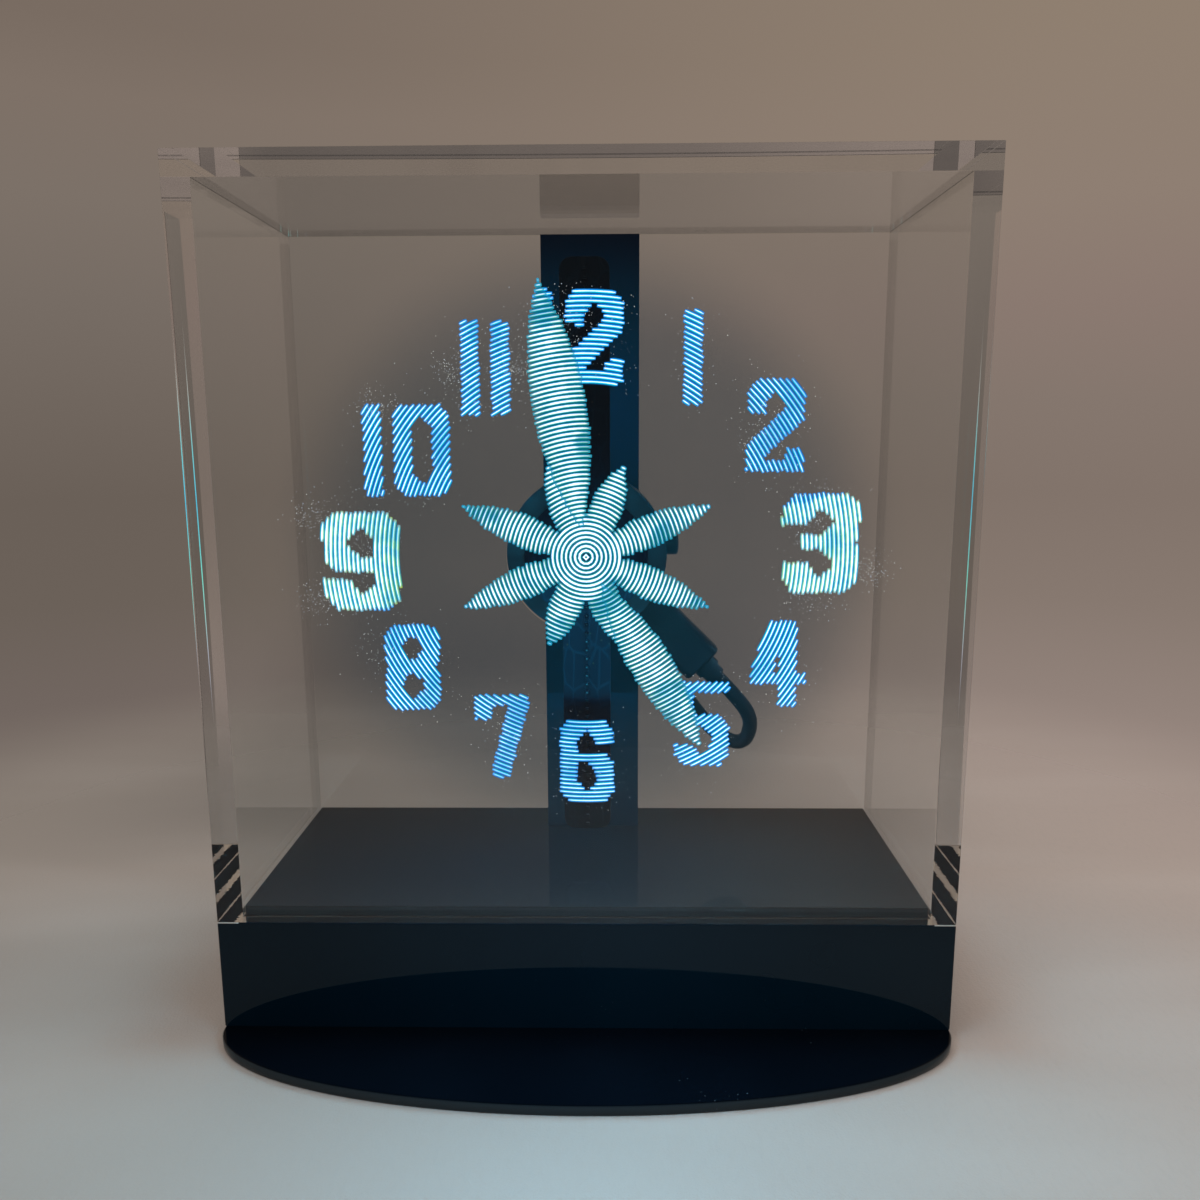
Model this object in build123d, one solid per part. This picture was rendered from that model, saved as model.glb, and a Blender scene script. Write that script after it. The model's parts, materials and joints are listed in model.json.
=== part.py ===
from build123d import *
import os
from math import cos, radians, sin, sqrt, tan

os.makedirs("parts", exist_ok=True)

# Mystery clock: a spinning bar of lamps draws a dial in the air inside a clear lift-off case.
# Millimetres. +Z up, the dial faces -Y, the origin is under the middle of the foot plate.

# Driving dimensions: case, base and foot
case_width = 200.0
case_depth = 83.0
case_height = 198.0
sheet = 5.7
case_play = 0.5
base_height = 31.0
base_wall = 5.0
foot_thick = 3.0
foot_lobe = 31.0
foot_edge = 0.3
plinth_thick = 3.0
corner_block = 11.0

# Driving dimensions: post and hub
post_width = 29.6
post_thick = 6.0
post_shift = 1.0
post_headroom = 2.9
back_room = 9.8
axis_drop = 2.15
hub_radius = 23.8
hub_depth = 17.0
hub_wall = 1.6
hub_back_thick = 1.5

# Driving dimensions: motor
well_inset = 9.2
well_wall = 1.2
behind_well = 9.5
motor_plate = 1.6
shaft_radius = 1.48
bearing_bore = 1.5
bearing_radius = 3.0
bearing_width = 2.5
tube_wall = 1.25
tube_room = 1.0
bell_gap = 1.0
bell_wall = 1.0
bell_face = 1.2
bell_back_gap = 2.8
magnet_thick = 0.8
magnet_count = 12
magnet_gap_angle = 4.0
air_gap = 0.4
stator_teeth = 9
stator_front_gap = 2.65
tooth_width = 1.8
core_ring_share = 0.255
tooth_tip_share = 0.14
tooth_tip_angle = 28.0
coil_thick = 1.0

# Driving dimensions: rotor bar and its lamps
bell_to_hub = 3.0
spacer_thick = 1.8
board_thick = 1.6
bar_low_gap = 9.0
bar_side_gap = 10.8
bar_width = 14.0
disc_inset = 5.8
lamp_count = 64
lamp_inset = 0.94
lamp_size = 1.0
lamp_high = 0.6
chip_size = 5.0
chip_high = 0.9
coil_ring_wide = 5.0
coil_ring_inset = 0.8
coil_ring_high = 0.8
sensor_size = 2.6
sensor_inset = 3.2

# Driving dimensions: hub electronics
hub_board_inset = 5.2
hub_board_thick = 1.4
pillar_high = 1.5
pillar_radius = 1.7
pillar_inset = 4.0
hub_chip = 4.0
hub_chip_high = 1.1
socket_width = 9.0
socket_high = 3.2
socket_length = 6.4
socket_wall = 0.4
switch_size = 4.6
switch_high = 3.2
switch_length = 3.6

# Driving dimensions: button on the hub's right side
button_radius = 3.3
button_flange = 0.8
flange_thick = 1.0
button_proud = 4.0
button_travel = 0.8
button_rise = 1.8

# Driving dimensions: plug and lead
plug_width = 13.4
plug_thick = 9.0
plug_length = 26.6
plug_round = 2.0
plug_angle = -45.0
relief_wide = 7.8
relief_narrow = 6.4
relief_step = 3.1
tongue_width = 8.0
tongue_high = 2.2
tongue_length = 5.4
lead_radius = 2.35
clip_seat = 0.9
clip_wall = 1.2
clip_tall = 5.0
clip_long = 9.0
clip_mouth = 3.6
lead_inset = 6.8
lead_first_run = 8.5
sleeve_wall = 0.8

# Driving dimensions: power board in the base
board_long = 42.0
board_deep = 21.0
standoff_high = 4.0
standoff_radius = 2.6
inlet_width = 8.9
inlet_high = 3.3
inlet_length = 7.6
inlet_wall = 0.3
inlet_tongue = 0.7
inlet_setback = 0.2
header_width = 8.0
header_deep = 4.9
header_top = 18.0
power_chip = 6.0

# Driving dimensions: screws
fit_gap = 0.05
m4_radius = 2.0
m4_head = 3.7
m3_radius = 1.5
m3_head = 2.8
m2_radius = 1.0
m2_head = 1.8
foot_screw_length = 14.0
post_screw_length = 20.0
post_screw_inset = 6.3
mount_screw_inset = 11.8
case_screw_length = 6.0
motor_screw_length = 5.0
motor_lug = 2.1
motor_lug_long = 4.5
rotor_screw_head = 0.45
rotor_screw_circle = 5.6
board_screw_length = 4.6

# Driving dimensions: the light image
light_thick = 0.2
light_gap = 0.15
ring_inset = 5.5
minute_angle = 350.4
hour_angle = 149.2
ray_count = 8
overrun = 1.0

# The image's sizes, as shares of the radius of the circle that holds the numerals, and the bold
# numerals 3 and 9, as shares of the plain ones
numeral_high_share = 1 / 3
numeral_wide_share = 0.21
numeral_space_share = 0.041
upright_share = 0.069
level_share = 0.045
bold_high_share = 1.12
bold_wide_share = 1.38
bold_stroke_share = 1.4
rise_share = 0.0385
minute_reach_share = 1.013
minute_half_share = 0.1
hour_reach_share = 0.86
hour_half_share = 0.082
hand_root_share = 0.103
ray_long_share = 0.5
ray_short_share = 0.372
ray_half_share = 0.062
core_share = 0.135

# Levels and depths that follow from them
deck_top = foot_thick + base_height
deck_under = deck_top - base_wall
plinth_top = deck_top + plinth_thick
case_top = deck_top + case_height
ceiling = case_top - sheet
half_width = case_width / 2
half_depth = case_depth / 2
post_rear = half_depth - sheet - back_room
post_front = post_rear - post_thick
post_top = ceiling - post_headroom
axis_z = (plinth_top + ceiling) / 2 - axis_drop
low_reach = axis_z - plinth_top - bar_low_gap
side_reach = half_width - sheet - bar_side_gap
rotor_reach = min(low_reach, side_reach)
lamp_pitch = (rotor_reach - lamp_inset) / lamp_count
hub_front = post_front - hub_depth
hub_back_front = post_front - hub_back_thick
well_radius = hub_radius - well_inset
well_floor = post_front - behind_well
motor_rear = well_floor + motor_plate
bell_front = hub_front - bell_to_hub
bell_rear = well_floor - bell_back_gap
bell_radius = well_radius - bell_gap
board_disc = hub_radius - disc_inset
coil_ring_out = board_disc - coil_ring_inset
coil_ring_in = coil_ring_out - coil_ring_wide
sensor_radius = hub_radius - sensor_inset
hub_board_radius = hub_radius - hub_wall - hub_board_inset
pillar_circle = hub_board_radius - pillar_inset
mount_screw_spread = hub_radius - mount_screw_inset
post_screw_spread = post_width / 2 - post_screw_inset
ring_radius = rotor_reach - ring_inset
board_rear = bell_front - spacer_thick
board_front = board_rear - board_thick
lamp_front = board_front - lamp_high
hub_board_rear = hub_back_front - pillar_high
hub_board_front = hub_board_rear - hub_board_thick
plug_y = hub_board_front - socket_high / 2
lead_y = post_rear + clip_seat + lead_radius


def block(x0, x1, y0, y1, z0, z1):
    """A box between its low and high faces."""
    middle = Pos((x0 + x1) / 2, (y0 + y1) / 2, (z0 + z1) / 2)
    return middle * Box(x1 - x0, y1 - y0, z1 - z0)


def round_y(radius, y0, y1, x=0, z=axis_z):
    """A round bar along Y between two depths."""
    return Pos(x, (y0 + y1) / 2, z) * Rot(90, 0, 0) * Cylinder(radius, y1 - y0)


def round_z(radius, z0, z1, x=0, y=0):
    """A round bar along Z between two heights."""
    return Pos(x, y, (z0 + z1) / 2) * Cylinder(radius, z1 - z0)


def ring_y(outer, inner, y0, y1, x=0, z=axis_z):
    """A round ring along Y."""
    return round_y(outer, y0, y1, x, z) - round_y(inner, y0 - overrun, y1 + overrun, x, z)


def polar(radius, angle):
    """X and Z of a point about the dial's axis, counted from +X towards +Z."""
    return radius * cos(radians(angle)), axis_z + radius * sin(radians(angle))


def turned(shape, angle):
    """Turns a shape about the dial's axis, from +X towards +Z."""
    return Pos(0, 0, axis_z) * Rot(0, -angle, 0) * Pos(0, 0, -axis_z) * shape


def countersunk(radius, head, length, base):
    """A countersunk screw or its hole along +Z, with its flat head at the base level."""
    depth = head - radius
    cone = Pos(0, 0, base + depth / 2) * Cone(head, radius, depth)
    return cone + round_z(radius, base + depth, base + length)


def facing_y(shape):
    """Lays a shape built along +Z down so that it runs towards -Y from depth zero."""
    return Rot(90, 0, 0) * shape


def save(name, shape):
    """Writes one named piece, labelled, to its own file."""
    solids = shape.solids()
    made = solids[0] if len(solids) == 1 else Compound(children=list(solids))
    made.label = name
    export_step(made, f"parts/{name}.step")


# Foot plate: as wide as the base, with a half oval before and behind it
lobes = Pos(0, -half_depth) * Ellipse(half_width, foot_lobe)
lobes += Pos(0, half_depth) * Ellipse(half_width, foot_lobe)
foot_outline = lobes + Rectangle(case_width, case_depth)
foot_plate = extrude(foot_outline, foot_thick)
foot_plate = chamfer(foot_plate.faces().sort_by(Axis.Z)[-1].edges(), foot_edge)
block_x = half_width - base_wall - corner_block / 2
block_y = half_depth - base_wall - corner_block / 2
corners = [(sx * block_x, sy * block_y) for sx in (-1, 1) for sy in (-1, 1)]
foot_screw = countersunk(m4_radius, m4_head, foot_screw_length, 0)
foot_hole = countersunk(m4_radius + fit_gap, m4_head + fit_gap, foot_screw_length + fit_gap, 0)
foot_screws = Compound(children=[Pos(x, y) * foot_screw for x, y in corners])
corner_blocks = Compound(
    children=[
        block(
            x - corner_block / 2, x + corner_block / 2,
            y - corner_block / 2, y + corner_block / 2, foot_thick, deck_under,
        )
        - Pos(x, y) * foot_hole
        for x, y in corners
    ]
)
for x, y in corners:
    foot_plate -= Pos(x, y) * foot_hole
save("foot_plate", foot_plate)
save("foot_screws", foot_screws)
save("corner_blocks", corner_blocks)

# Base: four walls round a deck, with the power inlet in the rear wall
inlet_floor = foot_thick + standoff_high + board_thick
inlet_back = half_depth - inlet_setback
inlet_hole = block(
    -inlet_width / 2 - fit_gap, inlet_width / 2 + fit_gap,
    half_depth - base_wall - overrun, half_depth + overrun,
    inlet_floor - fit_gap, inlet_floor + inlet_high + fit_gap,
)
inner_x = half_width - base_wall
inner_y = half_depth - base_wall
save("base_front", block(-half_width, half_width, -half_depth, -inner_y, foot_thick, deck_top))
base_rear = block(-half_width, half_width, inner_y, half_depth, foot_thick, deck_top)
save("base_rear", base_rear - inlet_hole)
save("base_left", block(-half_width, -inner_x, -inner_y, inner_y, foot_thick, deck_top))
save("base_right", block(inner_x, half_width, -inner_y, inner_y, foot_thick, deck_top))

# Deck and plinth, bored for the post's screws and the lead's sleeve
lead_x = post_shift + post_width / 2 - lead_inset
sleeve_radius = lead_radius + fit_gap + sleeve_wall
post_screw_places = [
    (post_shift + side * post_screw_spread, post_front + post_thick / 2) for side in (-1, 1)
]
deck = block(-inner_x, inner_x, -inner_y, inner_y, deck_under, deck_top)
plinth_x = half_width - sheet - case_play
plinth_y = half_depth - sheet - case_play
plinth = block(-plinth_x, plinth_x, -plinth_y, plinth_y, deck_top, plinth_top)
sleeve_hole = round_z(
    sleeve_radius + fit_gap, deck_under - overrun, plinth_top + overrun, lead_x, lead_y
)
deck -= sleeve_hole
plinth -= sleeve_hole
for x, y in post_screw_places:
    screw_hole = round_z(m3_radius + fit_gap, deck_under - overrun, plinth_top + overrun, x, y)
    deck -= screw_hole
    plinth -= screw_hole
save("base_deck", deck)
save("plinth", plinth)
lead_sleeve = round_z(sleeve_radius, deck_under, plinth_top, lead_x, lead_y)
lead_bore = round_z(
    lead_radius + fit_gap, deck_under - overrun, plinth_top + overrun, lead_x, lead_y
)
save("lead_sleeve", lead_sleeve - lead_bore)

# Post: a flat black bar screwed down through the deck, with the hub screwed to its face
post = block(
    post_shift - post_width / 2, post_shift + post_width / 2,
    post_front, post_rear, plinth_top, post_top,
)
post_screw = round_z(m3_head, deck_under - m3_radius, deck_under)
post_screw += round_z(m3_radius, deck_under, deck_under + post_screw_length)
post_screws = Compound(children=[Pos(x, y) * post_screw for x, y in post_screw_places])
for x, y in post_screw_places:
    screw_end = deck_under + post_screw_length + fit_gap
    post -= round_z(m3_radius + fit_gap, plinth_top - overrun, screw_end, x, y)
mount_length = post_thick + hub_back_thick + pillar_high - fit_gap
mount_places = [(0, axis_z + side * mount_screw_spread) for side in (-1, 1)]
mount_screw = facing_y(countersunk(m3_radius, m3_head, mount_length, 0))
mount_hole = facing_y(
    countersunk(m3_radius + fit_gap, m3_head + fit_gap, mount_length + overrun, 0)
)
for x, z in mount_places:
    post -= Pos(x, post_rear, z) * mount_hole
mount_screws = Compound(
    children=[Pos(x, post_rear, z) * mount_screw for x, z in mount_places]
)
save("post", post)
save("post_screws", post_screws)
save("mount_screws", mount_screws)

# Hub back: a disc against the post, with pillars for the control board
pillar_angles = [0, 180]
case_screw_angles = [100, 220, 340]
case_screw_circle = hub_radius - hub_wall - m2_head / 2
hub_back = round_y(hub_radius, hub_back_front, post_front)
for angle in pillar_angles:
    x, z = polar(pillar_circle, angle)
    hub_back += round_y(pillar_radius, hub_board_rear, hub_back_front, x, z)
for x, z in mount_places:
    hub_back += round_y(m3_head, hub_board_rear, hub_back_front, x, z)
    hub_back -= round_y(m3_radius + fit_gap, hub_board_rear, post_front, x, z)
case_screw_end = post_front - case_screw_length
hub_screw = facing_y(countersunk(m2_radius, m2_head, case_screw_length, 0))
hub_screw_hole = facing_y(
    countersunk(m2_radius + fit_gap, m2_head + fit_gap, case_screw_length + fit_gap, 0)
)
hub_screw_places = [polar(case_screw_circle, angle) for angle in case_screw_angles]
for x, z in hub_screw_places:
    hub_back -= Pos(x, post_front, z) * hub_screw_hole
save("hub_back", hub_back)
save(
    "hub_screws",
    Compound(children=[Pos(x, post_front, z) * hub_screw for x, z in hub_screw_places]),
)

# Hub shell: a round cup with a well for the motor, screw bosses, and holes for plug and button
hub_shell = round_y(hub_radius, hub_front, hub_back_front)
hub_shell -= round_y(hub_radius - hub_wall, hub_front + hub_wall, hub_back_front + overrun)
hub_shell += round_y(well_radius + well_wall, hub_front, well_floor)
hub_shell -= round_y(well_radius, hub_front - overrun, well_floor + overrun)
boss_front = case_screw_end - hub_wall
for x, z in hub_screw_places:
    boss = round_y(m2_head, boss_front, hub_back_front, x, z)
    hub_shell += boss & round_y(hub_radius - hub_wall / 2, hub_front, hub_back_front)
for x, z in hub_screw_places:
    hub_shell -= Pos(x, post_front, z) * hub_screw_hole
socket_hole = block(
    hub_radius - hub_wall - overrun, hub_radius + overrun,
    plug_y - socket_high / 2 - fit_gap, plug_y + socket_high / 2 + fit_gap,
    axis_z - socket_width / 2 - fit_gap, axis_z + socket_width / 2 + fit_gap,
)
hub_shell -= turned(socket_hole, plug_angle)
button_z = axis_z + button_rise


def round_x(radius, x0, x1, y=plug_y, z=button_z):
    """A round bar along X between two places."""
    return Pos((x0 + x1) / 2, y, z) * Rot(0, 90, 0) * Cylinder(radius, x1 - x0)


hub_shell -= round_x(button_radius + fit_gap, hub_radius - hub_wall * 2, hub_radius + overrun)
magnet_x, magnet_z = polar(sensor_radius, 270)
magnet_seat = hub_front + hub_wall / 2
hub_shell -= round_y(
    lamp_size + fit_gap, hub_front - overrun, magnet_seat + fit_gap, magnet_x, magnet_z
)
save("index_magnet", round_y(lamp_size, hub_front, magnet_seat, magnet_x, magnet_z))

# Motor base: a plate that closes the well, with the bearing tube
motor_radius = well_radius + well_wall
motor_screw_places = [polar(motor_radius + motor_lug - well_wall, angle) for angle in (40, 160, 280)]
tube_radius = bearing_radius + fit_gap / 2 + tube_wall
motor_base = round_y(motor_radius, well_floor, motor_rear)
for x, z in motor_screw_places:
    motor_base += round_y(motor_lug, well_floor, motor_rear, x, z)
    lug = round_y(motor_lug, well_floor - motor_lug_long, well_floor, x, z)
    hub_shell += lug - round_y(well_radius, hub_front, well_floor)
tube_front = bell_front + bell_face + tube_room
motor_base += round_y(tube_radius, tube_front, motor_rear)
bearing_rear = motor_rear - fit_gap
motor_base -= round_y(
    bearing_radius + fit_gap / 2, tube_front - overrun, motor_rear + overrun
)
screw_front = motor_rear - motor_screw_length
for x, z in motor_screw_places:
    motor_hole = round_y(m2_radius + fit_gap, screw_front - fit_gap, motor_rear + overrun, x, z)
    motor_base -= motor_hole
    hub_shell -= motor_hole
motor_screw = round_y(m2_radius, screw_front, motor_rear, 0, 0)
motor_screw += round_y(m2_head, motor_rear, motor_rear + m2_radius, 0, 0)
save("motor_base", motor_base)
save("hub_shell", hub_shell)
save(
    "motor_screws",
    Compound(children=[Pos(x, 0, z) * motor_screw for x, z in motor_screw_places]),
)
bearing_front = tube_front + fit_gap
bearings = [
    ring_y(bearing_radius, bearing_bore, bearing_front, bearing_front + bearing_width),
    ring_y(bearing_radius, bearing_bore, bearing_rear - bearing_width, bearing_rear),
]
save("bearings", Compound(children=bearings))

# Stator: a toothed core on the bearing tube, with one coil on each tooth
bell_inside = bell_radius - bell_wall
magnet_inside = bell_inside - magnet_thick
stator_radius = magnet_inside - air_gap
stator_rear = well_floor - coil_thick - fit_gap
stator_front = bell_front + bell_face + coil_thick + stator_front_gap
core_inside = tube_radius + fit_gap
tooth_tip = (stator_radius - core_inside) * tooth_tip_share
core_ring = core_inside + (stator_radius - core_inside) * core_ring_share
stator_core = ring_y(core_ring, core_inside, stator_front, stator_rear)
tip_ring = ring_y(stator_radius, stator_radius - tooth_tip, stator_front, stator_rear)
tooth = block(
    core_ring - tooth_tip, stator_radius - tooth_tip / 2, stator_front, stator_rear,
    axis_z - tooth_width / 2, axis_z + tooth_width / 2,
)
tip_half = stator_radius * tan(radians(tooth_tip_angle / 2))
tip_wedge = block(
    stator_radius - tooth_tip * 2, stator_radius + overrun, stator_front, stator_rear,
    axis_z - tip_half, axis_z + tip_half,
)
tooth += tip_ring & tip_wedge
coil_in = core_ring + fit_gap
coil_out = stator_radius - tooth_tip - air_gap
coil_half = coil_in * tan(radians(180 / stator_teeth)) - fit_gap
coil_side = min(tooth_width / 2 + coil_thick, coil_half)
coil = block(
    coil_in, coil_out, stator_front - coil_thick, stator_rear + coil_thick,
    axis_z - coil_side, axis_z + coil_side,
)
coil -= block(
    coil_in - overrun, coil_out + overrun, stator_front - fit_gap / 2, stator_rear + fit_gap / 2,
    axis_z - tooth_width / 2 - fit_gap / 2, axis_z + tooth_width / 2 + fit_gap / 2,
)
coils = []
for index in range(stator_teeth):
    angle = index * 360 / stator_teeth
    stator_core += turned(tooth, angle)
    coils.append(turned(coil, angle))
save("stator_core", stator_core)
save("stator_coils", Compound(children=coils))

# Spinning part: bell, magnets, shaft and clip
bell = round_y(bell_radius, bell_front, bell_rear)
bell -= round_y(bell_inside, bell_front + bell_face, bell_rear + overrun)
bell -= round_y(shaft_radius, bell_front - overrun, bell_rear + overrun)
rotor_screw_places = [polar(rotor_screw_circle, 45 + 90 * index) for index in range(4)]
for x, z in rotor_screw_places:
    bell -= round_y(m2_radius, bell_front - overrun, bell_rear, x, z)
save("rotor_bell", bell)
magnet_angle = 360 / magnet_count
magnet_ring = ring_y(bell_inside, magnet_inside, bell_front + bell_face + fit_gap, bell_rear)
magnet_half = bell_inside * tan(radians((magnet_angle - magnet_gap_angle) / 2))
magnet_wedge = block(
    magnet_inside / 2, bell_radius, bell_front, bell_rear,
    axis_z - magnet_half, axis_z + magnet_half,
)
magnet = magnet_ring & magnet_wedge
magnets = [turned(magnet, index * magnet_angle) for index in range(magnet_count)]
save("rotor_magnets", Compound(children=magnets))
clip_thick = coil_thick / 2
clip_front = motor_rear + fit_gap * 4
groove_radius = shaft_radius - fit_gap * 4
shaft_end = clip_front + clip_thick * 2
shaft = round_y(shaft_radius, bell_front, shaft_end)
shaft -= ring_y(shaft_radius + overrun, groove_radius, clip_front, clip_front + clip_thick)
save("rotor_shaft", shaft)
shaft_clip = ring_y(bearing_radius - fit_gap, groove_radius, clip_front, clip_front + clip_thick)
clip_slot = block(
    0, bearing_radius, clip_front, clip_front + clip_thick,
    axis_z - groove_radius / 2, axis_z + groove_radius / 2,
)
save("shaft_clip", shaft_clip - clip_slot)

# Rotor bar: a board with 64 lamps, its chips, spacer, receiving coil, sensor and screws
spacer = ring_y(rotor_screw_circle + m2_head, shaft_radius + fit_gap, board_rear, bell_front)
board = round_y(board_disc, board_front, board_rear)
board += block(
    -bar_width / 2, bar_width / 2, board_front, board_rear,
    axis_z - rotor_reach, axis_z + rotor_reach,
)
for x, z in rotor_screw_places:
    screw_hole = round_y(m2_radius + fit_gap, board_front - overrun, bell_front, x, z)
    spacer -= screw_hole
    board -= screw_hole
board = fillet(board.edges().filter_by(Axis.Y).group_by(Axis.Z)[0], bar_width / 4)
board = fillet(board.edges().filter_by(Axis.Y).group_by(Axis.Z)[-1], bar_width / 4)
save("rotor_spacer", spacer)
save("rotor_board", board)
lamps = []
for index in range(lamp_count):
    side = 1 if index % 2 == 0 else -1
    z = axis_z + side * lamp_pitch * (index + 1 / 2)
    lamps.append(
        block(
            -lamp_size / 2, lamp_size / 2, lamp_front, board_front,
            z - lamp_size / 2, z + lamp_size / 2,
        )
    )
save("rotor_lamps", Compound(children=lamps))
chip_offset = board_disc / 2 + chip_size / 4
chips = [
    block(
        side * chip_offset - chip_size / 2, side * chip_offset + chip_size / 2,
        board_front - chip_high / 2, board_front, z - chip_size / 2, z + chip_size / 2,
    )
    for side in (-1, 1)
    for z in (axis_z - chip_size * 0.7, axis_z + chip_size * 0.7)
]
save("rotor_chips", Compound(children=chips))
save("receiver_coil", ring_y(coil_ring_out, coil_ring_in, board_rear, board_rear + coil_ring_high))
save(
    "index_sensor",
    block(
        -sensor_size / 2, sensor_size / 2, board_rear, board_rear + coil_ring_high,
        axis_z - sensor_radius - sensor_size / 2, axis_z - sensor_radius + sensor_size / 2,
    ),
)
rotor_screw = round_y(m2_head, board_front - rotor_screw_head, board_front, 0, 0)
rotor_screw += round_y(m2_radius - fit_gap / 2, board_front, bell_front + bell_face, 0, 0)
save(
    "rotor_screws",
    Compound(children=[Pos(x, 0, z) * rotor_screw for x, z in rotor_screw_places]),
)

# Sending coil, sealed behind the shell's front wall
sender_front = hub_front + hub_wall + fit_gap
save(
    "sender_coil",
    ring_y(
        hub_radius - hub_wall - fit_gap * 2, motor_radius + fit_gap * 2,
        sender_front, sender_front + coil_ring_high,
    ),
)

# Control board with its chips, plug socket and button switch
control_board = round_y(hub_board_radius, hub_board_front, hub_board_rear)
save("control_board", control_board)
hub_chip_places = [polar(hub_board_radius * 0.6, angle) for angle in (90, 150, 210)]
save(
    "control_chips",
    Compound(
        children=[
            block(
                x - hub_chip / 2, x + hub_chip / 2,
                hub_board_front - hub_chip_high, hub_board_front,
                z - hub_chip / 2, z + hub_chip / 2,
            )
            for x, z in hub_chip_places
        ]
    ),
)
socket_outer = hub_radius - hub_wall / 2
socket_shell = block(
    socket_outer - socket_length, socket_outer, hub_board_front - socket_high, hub_board_front,
    axis_z - socket_width / 2, axis_z + socket_width / 2,
)
socket_cavity = block(
    socket_outer - socket_length + socket_wall, socket_outer + overrun,
    hub_board_front - socket_high + socket_wall, hub_board_front - socket_wall,
    axis_z - socket_width / 2 + socket_wall, axis_z + socket_width / 2 - socket_wall,
)
save("hub_socket", turned(socket_shell - socket_cavity, plug_angle))
flange_front = hub_radius - hub_wall * 2
button_back = flange_front - flange_thick
switch_outer = button_back - button_travel - fit_gap * 4
switch_body = block(
    switch_outer - switch_length, switch_outer, hub_board_front - switch_high, hub_board_front,
    button_z - switch_size / 2, button_z + switch_size / 2,
)
save("button_switch", switch_body)
button = round_x(button_radius, button_back, hub_radius + button_proud)
button = fillet(button.edges().sort_by(Axis.X)[-1], button_radius / 3)
button += round_x(button_radius + button_flange, button_back, flange_front)
save("power_button", button)

# Plug: a moulded body with a stepped strain relief, and the tongue that goes into the socket
plug_start = hub_radius + fit_gap * 4
plug_end = plug_start + plug_length
plug_body = block(
    plug_start, plug_end, plug_y - plug_thick / 2, plug_y + plug_thick / 2,
    axis_z - plug_width / 2, axis_z + plug_width / 2,
)
plug_body = fillet(plug_body.edges().filter_by(Axis.X), plug_round)
plug_body = chamfer(plug_body.faces().sort_by(Axis.X)[-1].edges(), plug_round / 4)
save("plug_body", turned(plug_body, plug_angle))


def along_plug(radius, x0, x1):
    """A round bar on the plug's own line, before it is turned."""
    return round_x(radius, x0, x1, plug_y, axis_z)


relief = along_plug(relief_wide / 2, plug_end, plug_end + relief_step)
relief += along_plug(relief_narrow / 2, plug_end + relief_step, plug_end + relief_step * 2)
save("plug_relief", turned(relief, plug_angle))
tongue_tip = socket_outer - tongue_length
tongue = block(
    tongue_tip, plug_start, plug_y - tongue_high / 2, plug_y + tongue_high / 2,
    axis_z - tongue_width / 2, axis_z + tongue_width / 2,
)
save("plug_tongue", turned(tongue, plug_angle))

# Lead: from the plug, down and back in a loop, behind the post, down its back into the base
lead_start = plug_end + relief_step * 2
start_x, start_z = polar(lead_start, plug_angle)
first_x, first_z = polar(lead_start + lead_first_run, plug_angle)
lead_points = [
    (start_x, plug_y, start_z),
    (first_x, plug_y, first_z),
    (52.4, post_front - 4.0, axis_z - 54.9),
    (50.2, post_front + 0.6, axis_z - 65.3),
    (40.6, post_front + 4.6, axis_z - 61.9),
    (33.6, post_front + 6.8, axis_z - 52.5),
    (23.6, post_front + 8.6, axis_z - 41.9),
    (14.2, post_front + 9.3, axis_z - 40.1),
    (lead_x, lead_y, axis_z - 48.5),
    (lead_x, lead_y, header_top),
]


def lead_path(points):
    """Straight runs joined by arcs as large as the two runs at each point allow."""
    corners_at = [Vector(*point) for point in points]
    radii = []
    for before, here, after in zip(corners_at, corners_at[1:], corners_at[2:]):
        turn = (here - before).get_angle(after - here)
        shorter = min((here - before).length, (after - here).length)
        radii.append(0.45 * shorter / tan(radians(turn / 2)))
    print("lead radii", [round(radius, 1) for radius in radii])
    return FilletPolyline(*corners_at, radius=radii)


path = lead_path(lead_points)
lead_section = Plane(origin=path @ 0, z_dir=path % 0) * Circle(lead_radius)
power_lead = sweep(lead_section, path=path)
lead_length = path.length
swept_share = power_lead.volume / (lead_section.area * lead_length)
print("lead length", round(lead_length, 1), "volume share", round(swept_share, 4))
save("power_lead", power_lead)

# Clips that hold the lead on the back of the post
clips = []
clip_levels = [plinth_top + clip_tall * 2, plinth_top + clip_tall * 6]
for level in clip_levels:
    clip = block(
        lead_x - clip_long / 2, lead_x + clip_long / 2, post_rear,
        lead_y + lead_radius + fit_gap + clip_wall, level, level + clip_tall,
    )
    clip -= round_z(lead_radius + fit_gap, level - overrun, level + clip_tall + overrun, lead_x, lead_y)
    clip -= block(
        lead_x, lead_x + clip_long, lead_y - clip_mouth / 2, lead_y + clip_mouth / 2,
        level - overrun, level + clip_tall + overrun,
    )
    clips.append(clip)
save("lead_clips", Compound(children=clips))

# Power board in the base: standoffs, screws, board, inlet, header and chip
board_y1 = inner_y - fit_gap * 4
board_y0 = board_y1 - board_deep
standoff_top = foot_thick + standoff_high
board_top = standoff_top + board_thick
standoff_places = [
    (side * (board_long / 2 - standoff_radius), y)
    for side in (-1, 1)
    for y in (board_y0 + standoff_radius, board_y1 - standoff_radius)
]
screw_hole_radius = m2_radius + fit_gap
power_board = block(-board_long / 2, board_long / 2, board_y0, board_y1, standoff_top, board_top)
standoffs = []
board_screws = []
for x, y in standoff_places:
    power_board -= round_z(screw_hole_radius, foot_thick, board_top + overrun, x, y)
    standoff = round_z(standoff_radius, foot_thick, standoff_top, x, y)
    screw_low = board_top - board_screw_length
    standoffs.append(standoff - round_z(screw_hole_radius, screw_low, board_top, x, y))
    board_screw = round_z(m2_radius, screw_low, board_top, x, y)
    board_screws.append(board_screw + round_z(m2_head, board_top, board_top + m2_radius, x, y))
save("power_board", power_board)
save("board_standoffs", Compound(children=standoffs))
save("board_screws", Compound(children=board_screws))
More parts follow.
